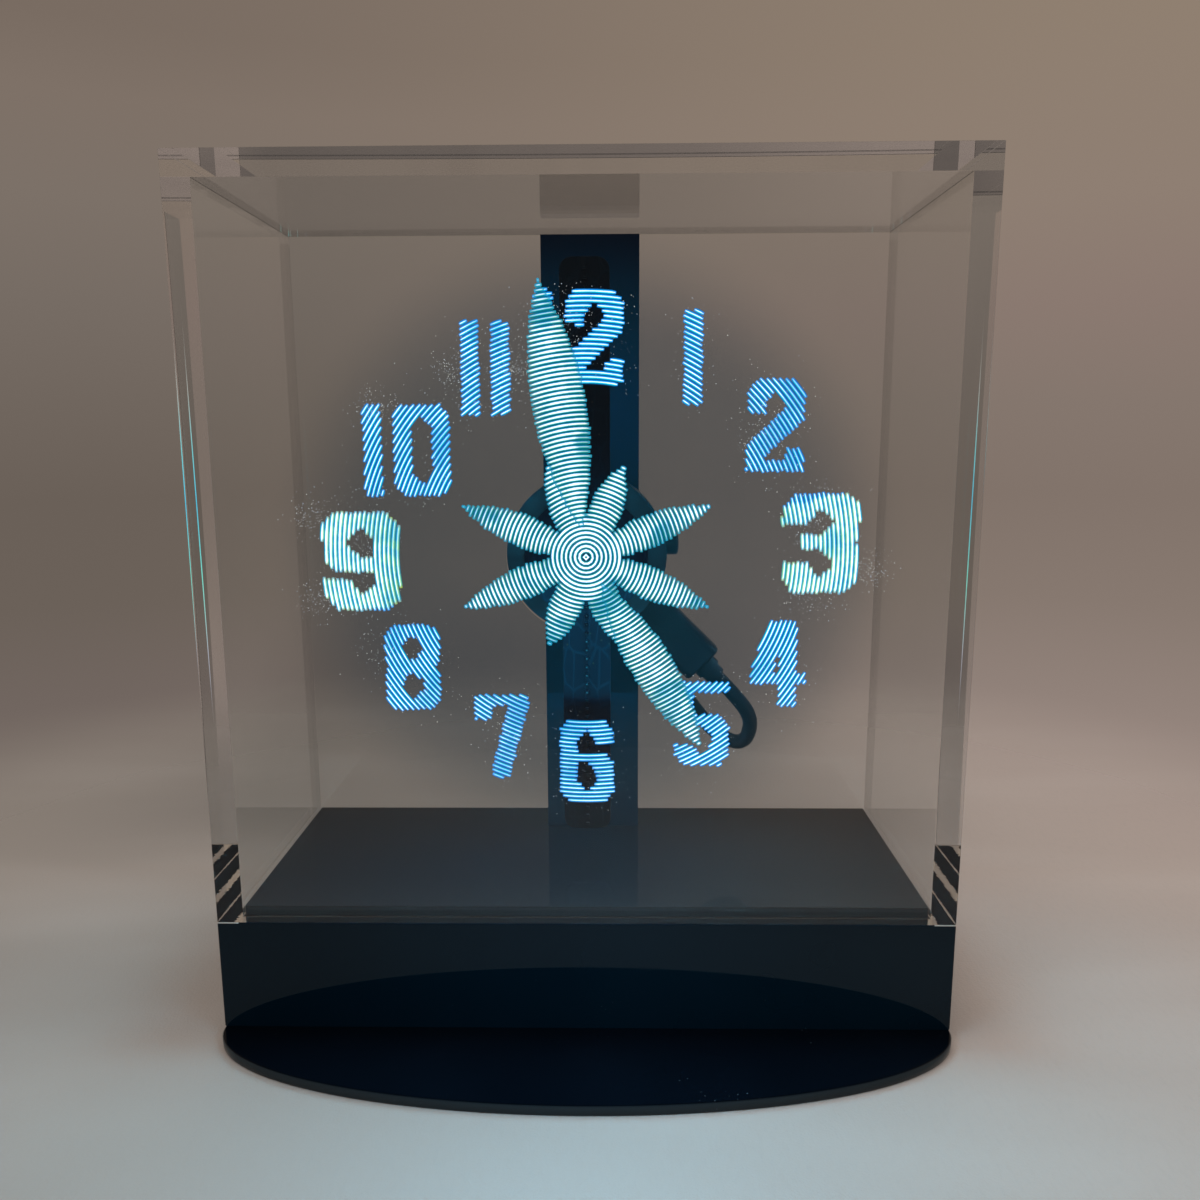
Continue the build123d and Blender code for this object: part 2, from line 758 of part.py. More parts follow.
inlet = block(
    -inlet_width / 2, inlet_width / 2, inlet_back - inlet_length, inlet_back,
    board_top, board_top + inlet_high,
)
inlet -= block(
    -inlet_width / 2 + inlet_wall, inlet_width / 2 - inlet_wall,
    inlet_back - inlet_length + inlet_wall * 4, inlet_back + overrun,
    board_top + inlet_wall, board_top + inlet_high - inlet_wall,
)
inlet += block(
    -inlet_width / 2 + inlet_wall * 4, inlet_width / 2 - inlet_wall * 4,
    inlet_back - inlet_length, inlet_back - inlet_wall * 4,
    board_top + inlet_high / 2 - inlet_tongue / 2, board_top + inlet_high / 2 + inlet_tongue / 2,
)
save("power_inlet", inlet)
save(
    "lead_header",
    block(
        lead_x - header_width / 2, lead_x + header_width / 2,
        lead_y - header_deep / 2, lead_y + header_deep / 2, board_top, header_top,
    ),
)
save(
    "power_chip",
    block(
        -board_long / 4 - power_chip / 2, -board_long / 4 + power_chip / 2,
        board_y0 + power_chip, board_y0 + power_chip * 2, board_top, board_top + chip_high,
    ),
)

# Clear case: front and rear sheets cover the side sheets' edges, and the top lies between them
save("case_front", block(-half_width, half_width, -half_depth, sheet - half_depth, deck_top, case_top))
save("case_rear", block(-half_width, half_width, half_depth - sheet, half_depth, deck_top, case_top))
inside_y = half_depth - sheet
save("case_left", block(-half_width, sheet - half_width, -inside_y, inside_y, deck_top, ceiling))
save("case_right", block(half_width - sheet, half_width, -inside_y, inside_y, deck_top, ceiling))
save("case_top", block(-half_width, half_width, -inside_y, inside_y, ceiling, case_top))

# The light image: thin plates for the figures that the spinning lamps draw just before the bar
numeral_y = lamp_front - light_gap * 2
hour_y = numeral_y - light_thick - light_gap
minute_y = hour_y - light_thick - light_gap

numeral_high = ring_radius * numeral_high_share
numeral_wide = ring_radius * numeral_wide_share
numeral_space = ring_radius * numeral_space_share
stroke_upright = ring_radius * upright_share
stroke_level = ring_radius * level_share

# Each digit's pen strokes, as shares of half its width and half its height
digit_shares = {
    "0": [[(-1, 0.72), (-0.5, 1), (0.5, 1), (1, 0.72), (1, -0.72), (0.5, -1), (-0.5, -1),
           (-1, -0.72), (-1, 0.72)]],
    "1": [[(0, 1), (0, -1)]],
    "2": [[(-1, 0.45), (-1, 0.7), (-0.5, 1), (0.5, 1), (1, 0.7), (1, 0.3), (-1, -0.62),
           (-1, -1), (1, -1), (1, -0.7)]],
    "3": [[(-1, 0.62), (-0.55, 1), (0.5, 1), (1, 0.72), (1, 0.32), (0.5, 0.05), (-0.2, 0.05)],
          [(0.5, 0.05), (1, -0.25), (1, -0.72), (0.5, -1), (-0.55, -1), (-1, -0.62)]],
    "4": [[(-1, -0.4), (-0.1, 1), (0.5, 1), (0.5, -1)], [(-1, -0.4), (1, -0.4)]],
    "5": [[(1, 1), (-0.9, 1), (-0.9, 0.12), (0.4, 0.12), (1, -0.2), (1, -0.7), (0.5, -1),
           (-0.5, -1), (-1, -0.7)]],
    "6": [[(1, 0.6), (0.5, 1), (-0.5, 1), (-1, 0.72), (-1, -0.72), (-0.5, -1), (0.5, -1),
           (1, -0.72), (1, -0.2), (0.5, 0.08), (-1, 0.08)]],
    "7": [[(-1, 0.62), (-1, 1), (1, 1), (-0.1, -1)]],
    "8": [[(0.5, 0.05), (1, 0.32), (1, 0.75), (0.5, 1), (-0.5, 1), (-1, 0.75), (-1, 0.32),
           (-0.5, 0.05), (0.5, 0.05)],
          [(-0.5, 0.05), (-1, -0.22), (-1, -0.75), (-0.5, -1), (0.5, -1), (1, -0.75),
           (1, -0.22), (0.5, 0.05)]],
    "9": [[(-1, -0.6), (-0.5, -1), (0.5, -1), (1, -0.72), (1, 0.72), (0.5, 1), (-0.5, 1),
           (-1, 0.72), (-1, 0.2), (-0.5, -0.08), (1, -0.08)]],
}


# How far each numeral stands from its regular place on the ring, as shares of the ring's radius
nudge_shares = {
    1: (-0.03, -0.045), 2: (-0.022, 0.03), 3: (0.027, 0.011), 4: (0.011, -0.034),
    5: (0.037, 0.015), 6: (0, 0), 7: (0.075, -0.037), 8: (0.052, -0.049),
    9: (0, -0.054), 10: (0.019, -0.034), 11: (0.045, -0.056), 12: (-0.022, -0.067),
}


def digit_width(digit, bold):
    """The width of a digit, with the one as narrow as its stroke."""
    width = stroke_upright if digit == "1" else numeral_wide
    return width * bold_wide_share if bold else width


def pen_run(start, end, pen):
    """What a broad pen held level covers on its way from start to end."""
    side = 1 if end.X >= start.X else -1
    climb = 1 if end.Y >= start.Y else -1
    near = Vector(side * stroke_upright, -climb * stroke_level) * pen / 2
    far = Vector(side * stroke_upright, climb * stroke_level) * pen / 2
    corners = [start - far, start + near, end + near, end + far, end - near, start - near]
    return make_face(Polyline(*corners, close=True).edges())


def digit_face(digit, bold):
    """A digit as a flat face about its own middle, from one run for each straight of its strokes."""
    pen = bold_stroke_share if bold else 1
    high = numeral_high * bold_high_share if bold else numeral_high
    half_w = (digit_width(digit, bold) - stroke_upright * pen) / 2
    half_h = (high - stroke_level * pen) / 2
    face = None
    for stroke in digit_shares[digit]:
        points = [Vector(u * half_w, v * half_h) for u, v in stroke]
        for start, end in zip(points, points[1:]):
            run = pen_run(start, end, pen)
            face = run if face is None else face + run
    return face


def numeral_place(hour, half_w, half_h):
    """The middle of an hour's numeral: its far corner lies on a circle a little above the axis."""
    across, up = sin(radians(hour * 30)), cos(radians(hour * 30))
    lean = abs(across) * half_w + abs(up) * half_h
    spare = ring_radius ** 2 - half_w ** 2 - half_h ** 2
    reach = sqrt(lean ** 2 + spare) - lean
    aside, above = nudge_shares[hour]
    return reach * across + ring_radius * aside, reach * up + ring_radius * (rise_share + above)


def light_plate(face, depth):
    """Raises a flat face of the image into a thin plate whose back lies at a depth."""
    plane = Plane(origin=(0, depth, axis_z), x_dir=(1, 0, 0), z_dir=(0, -1, 0))
    return extrude(plane * face, light_thick)


numerals = []
for hour in range(1, 13):
    bold = hour % 6 == 3
    high = numeral_high * bold_high_share if bold else numeral_high
    digits = str(hour)
    widths = [digit_width(digit, bold) for digit in digits]
    total = sum(widths) + numeral_space * (len(digits) - 1)
    x, z = numeral_place(hour, total / 2, high / 2)
    left = x - total / 2
    for digit, width in zip(digits, widths):
        face = Pos(left + width / 2, z) * digit_face(digit, bold)
        numerals.extend(light_plate(face, numeral_y).solids())
        left += width + numeral_space
save("dial_numerals", Compound(children=numerals))


def leaf(root, reach, half):
    """A pointed leaf along +Y between two distances from the middle, as two arcs."""
    low, high = Vector(0, root), Vector(0, reach)
    middle = (root + reach) / 2
    sides = ThreePointArc(low, Vector(half, middle), high)
    sides += ThreePointArc(high, Vector(-half, middle), low)
    return make_face(sides.edges())


# the rosette's longer leaves point to its sides, and none straight up, down or across
rosette = Circle(ring_radius * core_share)
for index in range(ray_count):
    turn = (index + 0.5) * 360 / ray_count
    sideways = abs(cos(radians(turn))) < abs(sin(radians(turn)))
    reach_share = ray_long_share if sideways else ray_short_share
    ray = leaf(0, ring_radius * reach_share, ring_radius * ray_half_share)
    rosette += Rot(0, 0, turn) * ray
save("dial_rosette", light_plate(rosette, numeral_y))
hand_root = ring_radius * hand_root_share
hour_leaf = leaf(hand_root, ring_radius * hour_reach_share, ring_radius * hour_half_share)
hour_hand = Rot(0, 0, -hour_angle) * hour_leaf
save("hour_hand", light_plate(hour_hand, hour_y))
minute_leaf = leaf(hand_root, ring_radius * minute_reach_share, ring_radius * minute_half_share)
minute_hand = Rot(0, 0, -minute_angle) * minute_leaf
save("minute_hand", light_plate(minute_hand, minute_y))
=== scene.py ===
import json
import math
import random

import bpy
import numpy as np
from mathutils import Matrix, Vector


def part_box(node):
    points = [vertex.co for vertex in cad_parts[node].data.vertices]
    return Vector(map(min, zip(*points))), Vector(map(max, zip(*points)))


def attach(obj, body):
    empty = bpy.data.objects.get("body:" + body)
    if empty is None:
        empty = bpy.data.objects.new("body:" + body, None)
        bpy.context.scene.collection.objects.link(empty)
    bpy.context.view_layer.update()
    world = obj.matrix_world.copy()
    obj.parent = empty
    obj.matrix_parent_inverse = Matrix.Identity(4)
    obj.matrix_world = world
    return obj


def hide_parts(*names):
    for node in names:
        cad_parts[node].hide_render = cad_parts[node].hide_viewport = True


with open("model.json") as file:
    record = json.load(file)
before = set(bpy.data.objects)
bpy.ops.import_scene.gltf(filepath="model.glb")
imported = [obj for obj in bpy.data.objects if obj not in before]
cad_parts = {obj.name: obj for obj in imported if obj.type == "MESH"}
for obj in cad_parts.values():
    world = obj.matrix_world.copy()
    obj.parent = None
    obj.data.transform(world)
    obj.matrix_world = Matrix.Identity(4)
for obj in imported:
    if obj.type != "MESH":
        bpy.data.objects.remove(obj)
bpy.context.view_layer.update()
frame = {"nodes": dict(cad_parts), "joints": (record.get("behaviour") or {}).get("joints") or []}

nodes = frame["nodes"]
mm = 0.001
axis = next(joint["pos_m"] for joint in frame["joints"] if joint["name"] == "rotor_spin")
print("frame loaded:", len(nodes), "nodes")


waveLength = 0.314  # of a wave texture at scale 1


# shader maths as Python expressions

class Wire:
    def __init__(self, look, socket):
        self.look = look
        self.socket = socket

    def __add__(self, other):
        return self.look.math("ADD", self, other)

    def __radd__(self, other):
        return self.look.math("ADD", other, self)

    def __sub__(self, other):
        return self.look.math("SUBTRACT", self, other)

    def __rsub__(self, other):
        return self.look.math("SUBTRACT", other, self)

    def __mul__(self, other):
        return self.look.math("MULTIPLY", self, other)

    def __truediv__(self, other):
        return self.look.math("DIVIDE", self, other)

    def __pow__(self, other):
        return self.look.math("POWER", self, other)

    def __abs__(self):
        return self.look.math("ABSOLUTE", self, 0)

    def rise(self, low, high):  # 0 below low, 1 above high, smooth between them
        settings = {"interpolation_type": "SMOOTHSTEP"}
        sockets = {"Value": self, "From Min": low, "From Max": high}
        return self.look.add("ShaderNodeMapRange", settings, sockets)

    def larger(self, other):
        return self.look.math("MAXIMUM", self, other)

    def part(self, name):  # X, Y or Z of a vector
        return self.look.add("ShaderNodeSeparateXYZ", {}, {"Vector": self}, out=name)


class Look:
    def __init__(self, owner):  # a material or the world
        owner.use_nodes = True
        self.owner = owner
        self.tree = owner.node_tree
        self.tree.nodes.clear()

    def add(self, kind, settings, sockets, out=0):
        node = self.tree.nodes.new(kind)
        for key, value in settings.items():
            if key == "stops":
                fillRamp(node.color_ramp, value)
            else:
                setattr(node, key, value)
        for key, value in sockets.items():
            if isinstance(value, Wire):
                self.tree.links.new(value.socket, node.inputs[key])
            else:
                node.inputs[key].default_value = value
        return Wire(self, node.outputs[out]) if len(node.outputs) else None

    def math(self, operation, first, second):
        return self.add("ShaderNodeMath", {"operation": operation}, {0: first, 1: second})

    def place(self):  # where a point lies in the row frame, on its body
        return self.add("ShaderNodeTexCoord", {}, {}, out="Object")

    def centred(self):  # the same, measured from the dial's axis
        return self.shift(self.place(), move=tuple(-value for value in axis))

    def bounced(self, kind):  # 1 for light that was mirrored (Glossy) or went through glass (Transmission)
        return self.add("ShaderNodeLightPath", {}, {}, out=kind + " Depth").rise(0.2, 0.8)

    def shift(self, where, move=(0, 0, 0), stretch=(1, 1, 1)):
        moved = self.add("ShaderNodeVectorMath", {"operation": "ADD"}, {0: where, 1: move})
        return self.add("ShaderNodeVectorMath", {"operation": "MULTIPLY"}, {0: moved, 1: stretch})

    def noise(self, where, scale, detail, rough=0.5):
        sockets = {"Vector": where, "Scale": scale, "Detail": detail, "Roughness": rough}
        return self.add("ShaderNodeTexNoise", {}, sockets)

    def rings(self, pitch, wobble):  # about the dial's axis
        settings = {"wave_type": "RINGS", "rings_direction": "Y"}
        sockets = {"Vector": self.centred(), "Scale": waveLength / pitch, "Distortion": wobble}
        return self.add("ShaderNodeTexWave", settings, sockets)

    def cells(self, where, scale, feature="F1"):
        return self.add("ShaderNodeTexVoronoi", {"feature": feature}, {"Vector": where, "Scale": scale})

    def mix(self, share, first, second):
        return self.add("ShaderNodeMix", {"data_type": "RGBA"}, {0: share, 6: first, 7: second}, out=2)

    def bump(self, height, strength, distance):
        return self.add("ShaderNodeBump", {}, {"Height": height, "Strength": strength, "Distance": distance})

    def surface(self, sockets):
        self.output(self.add("ShaderNodeBsdfPrincipled", {}, sockets))

    def veil(self, cover, shader):  # see-through where cover is 0
        clear = self.add("ShaderNodeBsdfTransparent", {}, {})
        self.output(self.add("ShaderNodeMixShader", {}, {0: cover, 1: clear, 2: shader}))

    def glow(self, cover, colour, strength):  # shines, but isn't sampled as a lamp
        self.owner.cycles.emission_sampling = "NONE"
        self.veil(cover, self.add("ShaderNodeEmission", {}, {"Color": colour, "Strength": strength}))

    def output(self, shader, kind="ShaderNodeOutputMaterial"):
        self.add(kind, {}, {"Surface": shader})


def fillRamp(ramp, stops):
    while len(ramp.elements) < len(stops):
        ramp.elements.new(1)
    for element, (place, colour) in zip(ramp.elements, stops):
        element.position = place
        element.color = colour


def tone(red, green, blue):  # a colour given as screen values from 0 to 255
    parts = (value / 255 for value in (red, green, blue))
    return (*(v / 12.92 if v < 0.04045 else ((v + 0.055) / 1.055) ** 2.4 for v in parts), 1)


def newLook(name):
    material = bpy.data.materials.new(name)
    return material, Look(material)


def newThing(name, data):
    thing = bpy.data.objects.new(name, data)
    bpy.context.scene.collection.objects.link(thing)
    return thing


def newPiece(name, places, faces, material):
    mesh = bpy.data.meshes.new(name)
    mesh.from_pydata(places, [], faces)
    mesh.update()
    mesh.materials.append(material)
    mesh.shade_flat()
    return newThing(name, mesh)


# camera: a short lens a little above the dial's middle, looking slightly down

cameraSet = {"place": (0.008458, -0.282128, 0.164657), "lens": 28.77, "sensor": 36.0,
             "yaw": -0.0162, "pitch": 0.1714, "roll": -0.0042, "near": 0.005, "far": 20}


def makeCamera(style):
    yaw, pitch, roll = style["yaw"], style["pitch"], style["roll"]
    ahead = Vector((math.sin(yaw) * math.cos(pitch), math.cos(yaw) * math.cos(pitch), -math.sin(pitch)))
    right = Vector((math.cos(yaw), -math.sin(yaw), 0))
    up = right.cross(ahead)
    across = right * math.cos(roll) + up * math.sin(roll)
    upward = up * math.cos(roll) - right * math.sin(roll)
    lens = bpy.data.cameras.new("camera")
    lens.lens, lens.sensor_width = style["lens"], style["sensor"]
    lens.clip_start, lens.clip_end = style["near"], style["far"]
    camera = newThing("camera", lens)
    turned = Matrix((across, upward, -ahead)).transposed().to_4x4()
    camera.matrix_world = Matrix.Translation(style["place"]) @ turned
    bpy.context.scene.camera = camera


makeCamera(cameraSet)


# lead: out of the plug, in a short loop, and down behind the post

leadRoute = [  # in mm
    (40.16, 14.0, 89.34), (46.17, 14.0, 83.33), (52.4, 16.0, 74.6), (50.2, 20.6, 64.2), (40.6, 24.6, 67.6),
    (33.6, 26.8, 77.0), (23.6, 28.6, 87.6), (14.2, 29.3, 89.4), (9.0, 29.25, 81.0), (9.0, 29.25, 18.0),
]
leadSize = {"length": 0.1465, "radius": 2.35 * mm, "rings": 6, "steps": 14}


def makeLead(route, size):
    curve = bpy.data.curves.new("powerLead", "CURVE")
    curve.dimensions = "3D"
    curve.bevel_depth = 1.0  # times each point's own radius
    curve.bevel_resolution = size["rings"]
    curve.use_fill_caps = True
    spline = curve.splines.new("NURBS")
    spline.points.add(len(route) - 1)
    for point, place in zip(spline.points, route):
        point.co = (*(value * mm for value in place), 1)
        point.radius = size["radius"]
    spline.order_u = 3
    spline.use_endpoint_u = True
    spline.resolution_u = size["steps"]
    lead = newThing("powerLead", curve)
    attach(lead, "base")
    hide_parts("power_lead")
    return lead


lead = makeLead(leadRoute, leadSize)
print("camera and lead")


# stage: a pale cloth that fades into a beige room, darker to the left

roomTones = {
    # from low down to high up, on each side
    "left": [(0.0, tone(143, 134, 126)), (0.195, tone(130, 120, 111)), (0.3, tone(113, 102, 96)),
             (0.4, tone(107, 97, 89)), (0.51, tone(106, 96, 88)), (0.61, tone(112, 102, 94)),
             (0.71, tone(118, 108, 100)), (0.81, tone(124, 113, 104)), (0.9, tone(126, 113, 103)),
             (0.96, tone(121, 108, 98))],
    "right": [(0.0, tone(168, 154, 145)), (0.195, tone(155, 139, 131)), (0.3, tone(145, 130, 122)),
              (0.4, tone(135, 121, 112)), (0.51, tone(130, 116, 107)), (0.61, tone(133, 119, 110)),
              (0.71, tone(139, 122, 113)), (0.81, tone(143, 127, 115)), (0.96, tone(144, 128, 113))],
    "front": (0.012, 0.018, 0.026, 1),  # the dark side in front of the clock, seen only in mirrors
    "edgeLight": 0.25,  # how much less of it shows inside the clear sheets
    "light": (0.74, 0.72, 0.70, 1),  # what lights the clock
    # its soft shadow behind it
    "shadow": tone(60, 58, 56), "dimmed": 0.36, "shadowLeft": (-0.37, -0.3), "shadowRight": (0.02, 0.28),
    "shadowTop": (-0.24, -0.13), "shadowBack": (0.4, 0.8),
}


def makeRoom(tones):
    world = bpy.data.worlds.new("room")
    bpy.context.scene.world = world
    look = Look(world)
    way = look.add("ShaderNodeTexCoord", {}, {}, out="Generated")
    high = (way.part("Z") + 0.5) * 1.15
    left = look.add("ShaderNodeValToRGB", {"stops": tones["left"]}, {"Fac": high})
    right = look.add("ShaderNodeValToRGB", {"stops": tones["right"]}, {"Fac": high})
    seen = look.mix(way.part("X").rise(-0.5, 0.5), left, right)
    behind = way.part("X").rise(*tones["shadowLeft"]) * (1 - way.part("X").rise(*tones["shadowRight"]))
    behind = behind * (1 - way.part("Z").rise(*tones["shadowTop"])) * way.part("Y").rise(*tones["shadowBack"])
    seen = look.mix(behind * tones["dimmed"], seen, tones["shadow"])
    behindCamera = (0 - way.part("Y")).rise(0.15, 0.6)
    mirrors = look.bounced("Glossy") * (1 - look.bounced("Transmission") * tones["edgeLight"])
    mirrored = look.mix(behindCamera * mirrors, seen, tones["front"])
    straight, glossy, through = (look.add("ShaderNodeLightPath", {}, {}, out=name)
                                 for name in ("Is Camera Ray", "Is Glossy Ray", "Is Transmission Ray"))
    colour = look.mix(straight.larger(glossy).larger(through), tones["light"], mirrored)
    look.output(look.add("ShaderNodeBackground", {}, {"Color": colour}), "ShaderNodeOutputWorld")


clothStyle = {"radius": 0.62, "sunk": 0.05 * mm, "rings": 60, "spokes": 96, "near": 0.17, "far": 0.44,
              "left": (0.222, 0.194, 0.172, 1), "right": (0.325, 0.268, 0.24, 1),
              "weave": (0.22, 0.2, 0.19, 1), "crease": (0.6, 0.56, 0.53, 1),
              "shadow": (0.045, 0.043, 0.042, 1), "dimmed": 0.36, "shadowAside": 0.05,
              "shadowWide": (0.1, 0.24), "shadowBack": (0.05, 0.14),
              "mirrored": (0.02, 0.02, 0.02, 1)}  # the part in front, as mirrored inside the case's sheets


def makeCloth(style):
    places, faces = [(0, 0, 0)], []
    for ring in range(1, style["rings"] + 1):
        radius = style["radius"] * ring / style["rings"]
        for spoke in range(style["spokes"]):
            angle = 2 * math.pi * spoke / style["spokes"]
            places.append((radius * math.cos(angle), radius * math.sin(angle), -style["sunk"]))
    for spoke in range(style["spokes"]):
        after = (spoke + 1) % style["spokes"]
        faces.append((0, 1 + spoke, 1 + after))
        for ring in range(style["rings"] - 1):
            low, high = 1 + ring * style["spokes"], 1 + (ring + 1) * style["spokes"]
            faces.append((low + spoke, high + spoke, high + after, low + after))
    material, look = newLook("cloth")
    place = look.place()
    across, deep = place.part("X"), place.part("Y")
    away = look.add("ShaderNodeVectorMath", {"operation": "LENGTH"}, {0: place}, out="Value")
    fine = look.noise(place, 1500, 2)
    weave = look.noise(look.shift(place, stretch=(1, 0.35, 1)), 700, 3)
    crease = look.noise(look.shift(place, stretch=(0.5, 1.6, 1)), 9, 2)
    colour = look.mix(across.rise(-0.32, 0.32), style["left"], style["right"])
    colour = look.mix(weave.rise(0.45, 0.8) * 0.12, colour, style["weave"])
    colour = look.mix(crease.rise(0.4, 0.75) * 0.1, colour, style["crease"])
    behind = 1 - abs(across + style["shadowAside"]).rise(*style["shadowWide"])
    behind = behind * deep.rise(*style["shadowBack"])
    colour = look.mix(behind * style["dimmed"], colour, style["shadow"])
    # painted shade: the cloth in front is painted near-black where it is seen mirrored inside the case's
    # sheets
    insideGlass = look.bounced("Glossy") * look.bounced("Transmission")
    colour = look.mix(insideGlass * (0 - deep).rise(0.08, 0.14), colour, style["mirrored"])
    relief = look.bump(fine + weave + crease * 6, 0.22, 0.0006)
    felt = look.add("ShaderNodeBsdfDiffuse", {}, {"Color": colour, "Normal": relief})
    clear = look.add("ShaderNodeBsdfTransparent", {}, {})
    fade = away.rise(style["near"], style["far"])
    look.output(look.add("ShaderNodeMixShader", {}, {0: fade, 1: felt, 2: clear}))
    cloth = newPiece("clothGround", places, faces, material)
    cloth.visible_shadow = False


lampSet = [
    # name, kind, place, aim, size, power, colour
    ("overheadLamp", "AREA", (-0.25, -0.2, 1.1), (0, 0, 0.1), 0.9, 5.0, (1.0, 0.95, 0.9)),
    ("sideLamp", "AREA", (0.9, 0.1, 0.8), (0, 0, 0.1), 0.6, 3.5, (1.0, 0.93, 0.86)),
    ("dialFrontLamp", "AREA", (0.0, -0.0066, 0.13), (0, -0.24, 0.0), 0.12, 0.85, (0.24, 0.72, 1.0)),
    ("dialFloorLamp", "AREA", (0.0, -0.115, 0.085), (0, -0.116, 0.0), 0.05, 0.11, (0.24, 0.68, 1.0)),
    ("dialBackLamp", "AREA", (0.0, -0.0028, 0.137), (0, 0.3, 0.125), 0.10, 0.13, (0.06, 0.7, 1.0)),
    ("dialHeartLamp", "POINT", (0.0, -0.012, 0.1295), (0, 0, 0), 0.012, 0.05, (0.06, 0.75, 1.0)),
]


def makeLamps(lamps):
    for name, kind, place, aim, size, power, colour in lamps:
        lamp = bpy.data.lights.new(name, kind)
        lamp.energy = power
        lamp.color = colour
        if kind == "AREA":
            lamp.shape = "DISK"
            lamp.size = size
        else:
            lamp.shadow_soft_size = size
        thing = newThing(name, lamp)
        thing.location = place
        if kind == "AREA":
            thing.rotation_euler = (Vector(aim) - Vector(place)).to_track_quat("-Z", "Y").to_euler()
        thing.visible_camera = thing.visible_glossy = thing.visible_transmission = False


makeRoom(roomTones)
makeCloth(clothStyle)
makeLamps(lampSet)
print("stage and lamps")


# finishes

edgeBands = {"wallSide": (94.1 * mm, 94.4 * mm), "wallTop": (33.7 * mm, 33.85 * mm),
             "plateTop": (2.6 * mm, 2.9 * mm), "plinthTop": (36.5 * mm, 36.9 * mm),
             "plinthSide": (93.63 * mm, 93.7 * mm)}


def paintedWallTopHighlight(place):
    # painted highlight: the walls' polished tops are painted pale, as seen through the feet of the case's
    # sides where the sheets mirror light
    return abs(place.part("X")).rise(*edgeBands["wallSide"]) * place.part("Z").rise(*edgeBands["wallTop"])


def paintedPlateRimSheen(place):
    # painted sheen: the foot plate's rim, below its top, is painted lighter than the plate
    return 1 - place.part("Z").rise(*edgeBands["plateTop"])


def paintedPlinthRimSheen(place):
    # painted sheen: the plinth's sides, below its top, are painted a lighter navy than its top
    return 1 - place.part("Z").rise(*edgeBands["plinthTop"])


def paintedPlinthEndHighlight(place):
    # painted highlight: the plinth's ends are painted pale, brighter on the left
    leftward = 1 - place.part("X").rise(0, 80 * mm) * 0.6
    return abs(place.part("X")).rise(*edgeBands["plinthSide"]) * leftward


blackAcrylicStyle = {
    "outer": {"deep": (0.0006, 0.0038, 0.007, 1), "haze": (0.0012, 0.0055, 0.0095, 1), "dusty": 0.25,
              "gloss": 0.025, "specular": 0.17, "edges": [(paintedWallTopHighlight, (0.34, 0.31, 0.28, 1))]},
    "plate": {"deep": (0.0006, 0.0011, 0.002, 1), "haze": (0.001, 0.0017, 0.003, 1), "dusty": 0.7,
              "gloss": 0.035, "specular": 0.16, "edges": [(paintedPlateRimSheen, (0.0105, 0.0135, 0.0155, 1))]},
    "plinth": {"deep": (0.0003, 0.0017, 0.0032, 1), "haze": (0.0006, 0.0025, 0.0042, 1), "dusty": 0.35,
               "gloss": 0.04, "specular": 0.09,
               "edges": [(paintedPlinthRimSheen, (0.002, 0.01, 0.016, 1)), (paintedPlinthEndHighlight, (0.4, 0.38, 0.36, 1))],
               "wash": ("X", 0 * mm, 80 * mm, (0.0095, 0.007, 0.007, 1))},
    "post": {"deep": (0.0008, 0.0055, 0.0155, 1), "haze": (0.0012, 0.0075, 0.0205, 1), "dusty": 0.3,
             "gloss": 0.05, "specular": 0.06, "wash": ("Z", 140 * mm, 80 * mm, (0.0004, 0.014, 0.027, 1))},
}
dustTone = (0.13, 0.15, 0.17, 1)


def blackAcrylic(name, style):
    material, look = newLook(name)
    place = look.place()
    cloud = look.noise(place, 16, 4)
    smear = look.noise(look.shift(place, stretch=(1, 1, 0.3)), 60, 5, 0.6)
    speck = 1 - look.cells(place, 640).rise(0.06, 0.12)
    speck = speck * look.noise(place, 90, 2).rise(0.56, 0.7) * style["dusty"]
    colour = look.mix(cloud.rise(0.3, 0.75), style["deep"], style["haze"])
    # painted light: the plinth's top is painted lighter and warmer towards the right, a painted reflection;
    # the post is painted a brighter blue from 140 mm down to 80 mm and below, a painted glow
    if "wash" in style:
        way, start, end, paintedLightTone = style["wash"]
        share = (place.part(way) - start) / (end - start)
        colour = look.mix(share.rise(0, 1), colour, paintedLightTone)
    # painted highlights and sheens on the edges: pale wall tops and plinth ends, lighter rims on the plate
    # and plinth
    for mask, paintedEdgeTone in style.get("edges", []):
        colour = look.mix(mask(place), colour, paintedEdgeTone)
    colour = look.mix(speck * 0.4, colour, dustTone)
    rough = style["gloss"] + smear.rise(0.45, 0.8) * 0.05 + speck * 0.35
    relief = look.bump(cloud + speck * 0.1, 0.03, 0.0004)
    look.surface({"Base Color": colour, "Roughness": rough, "IOR": 1.49, "Normal": relief,
                  "Specular IOR Level": style["specular"]})
    return material


def hubPlastic(name, deep, pale):
    material, look = newLook(name)
    place = look.place()
    grain = look.noise(place, 3400, 2, 0.6)
    worn = look.noise(place, 110, 4)
    colour = look.mix(worn.rise(0.35, 0.7), deep, pale)
    rough = 0.34 + grain * 0.14 + worn.rise(0.5, 0.8) * 0.08
    relief = look.bump(grain, 0.25, 0.00006)
    look.surface({"Base Color": colour, "Roughness": rough, "IOR": 1.5, "Normal": relief,
                  "Specular IOR Level": 0.28})
    return material


def turnedMetal(name, pale, dark, rough, pitch):
    # with the rings that a lathe leaves about the dial's axis
    material, look = newLook(name)
    rings = look.rings(pitch, 0.3)
    stain = look.noise(look.place(), 240, 4)
    colour = look.mix(stain.rise(0.35, 0.75), pale, dark)
    shine = rough + rings * 0.06 + stain.rise(0.5, 0.8) * 0.1
    relief = look.bump(rings, 0.16, 0.00004)
    look.surface({"Base Color": colour, "Metallic": 1.0, "Roughness": shine, "Normal": relief})
    return material


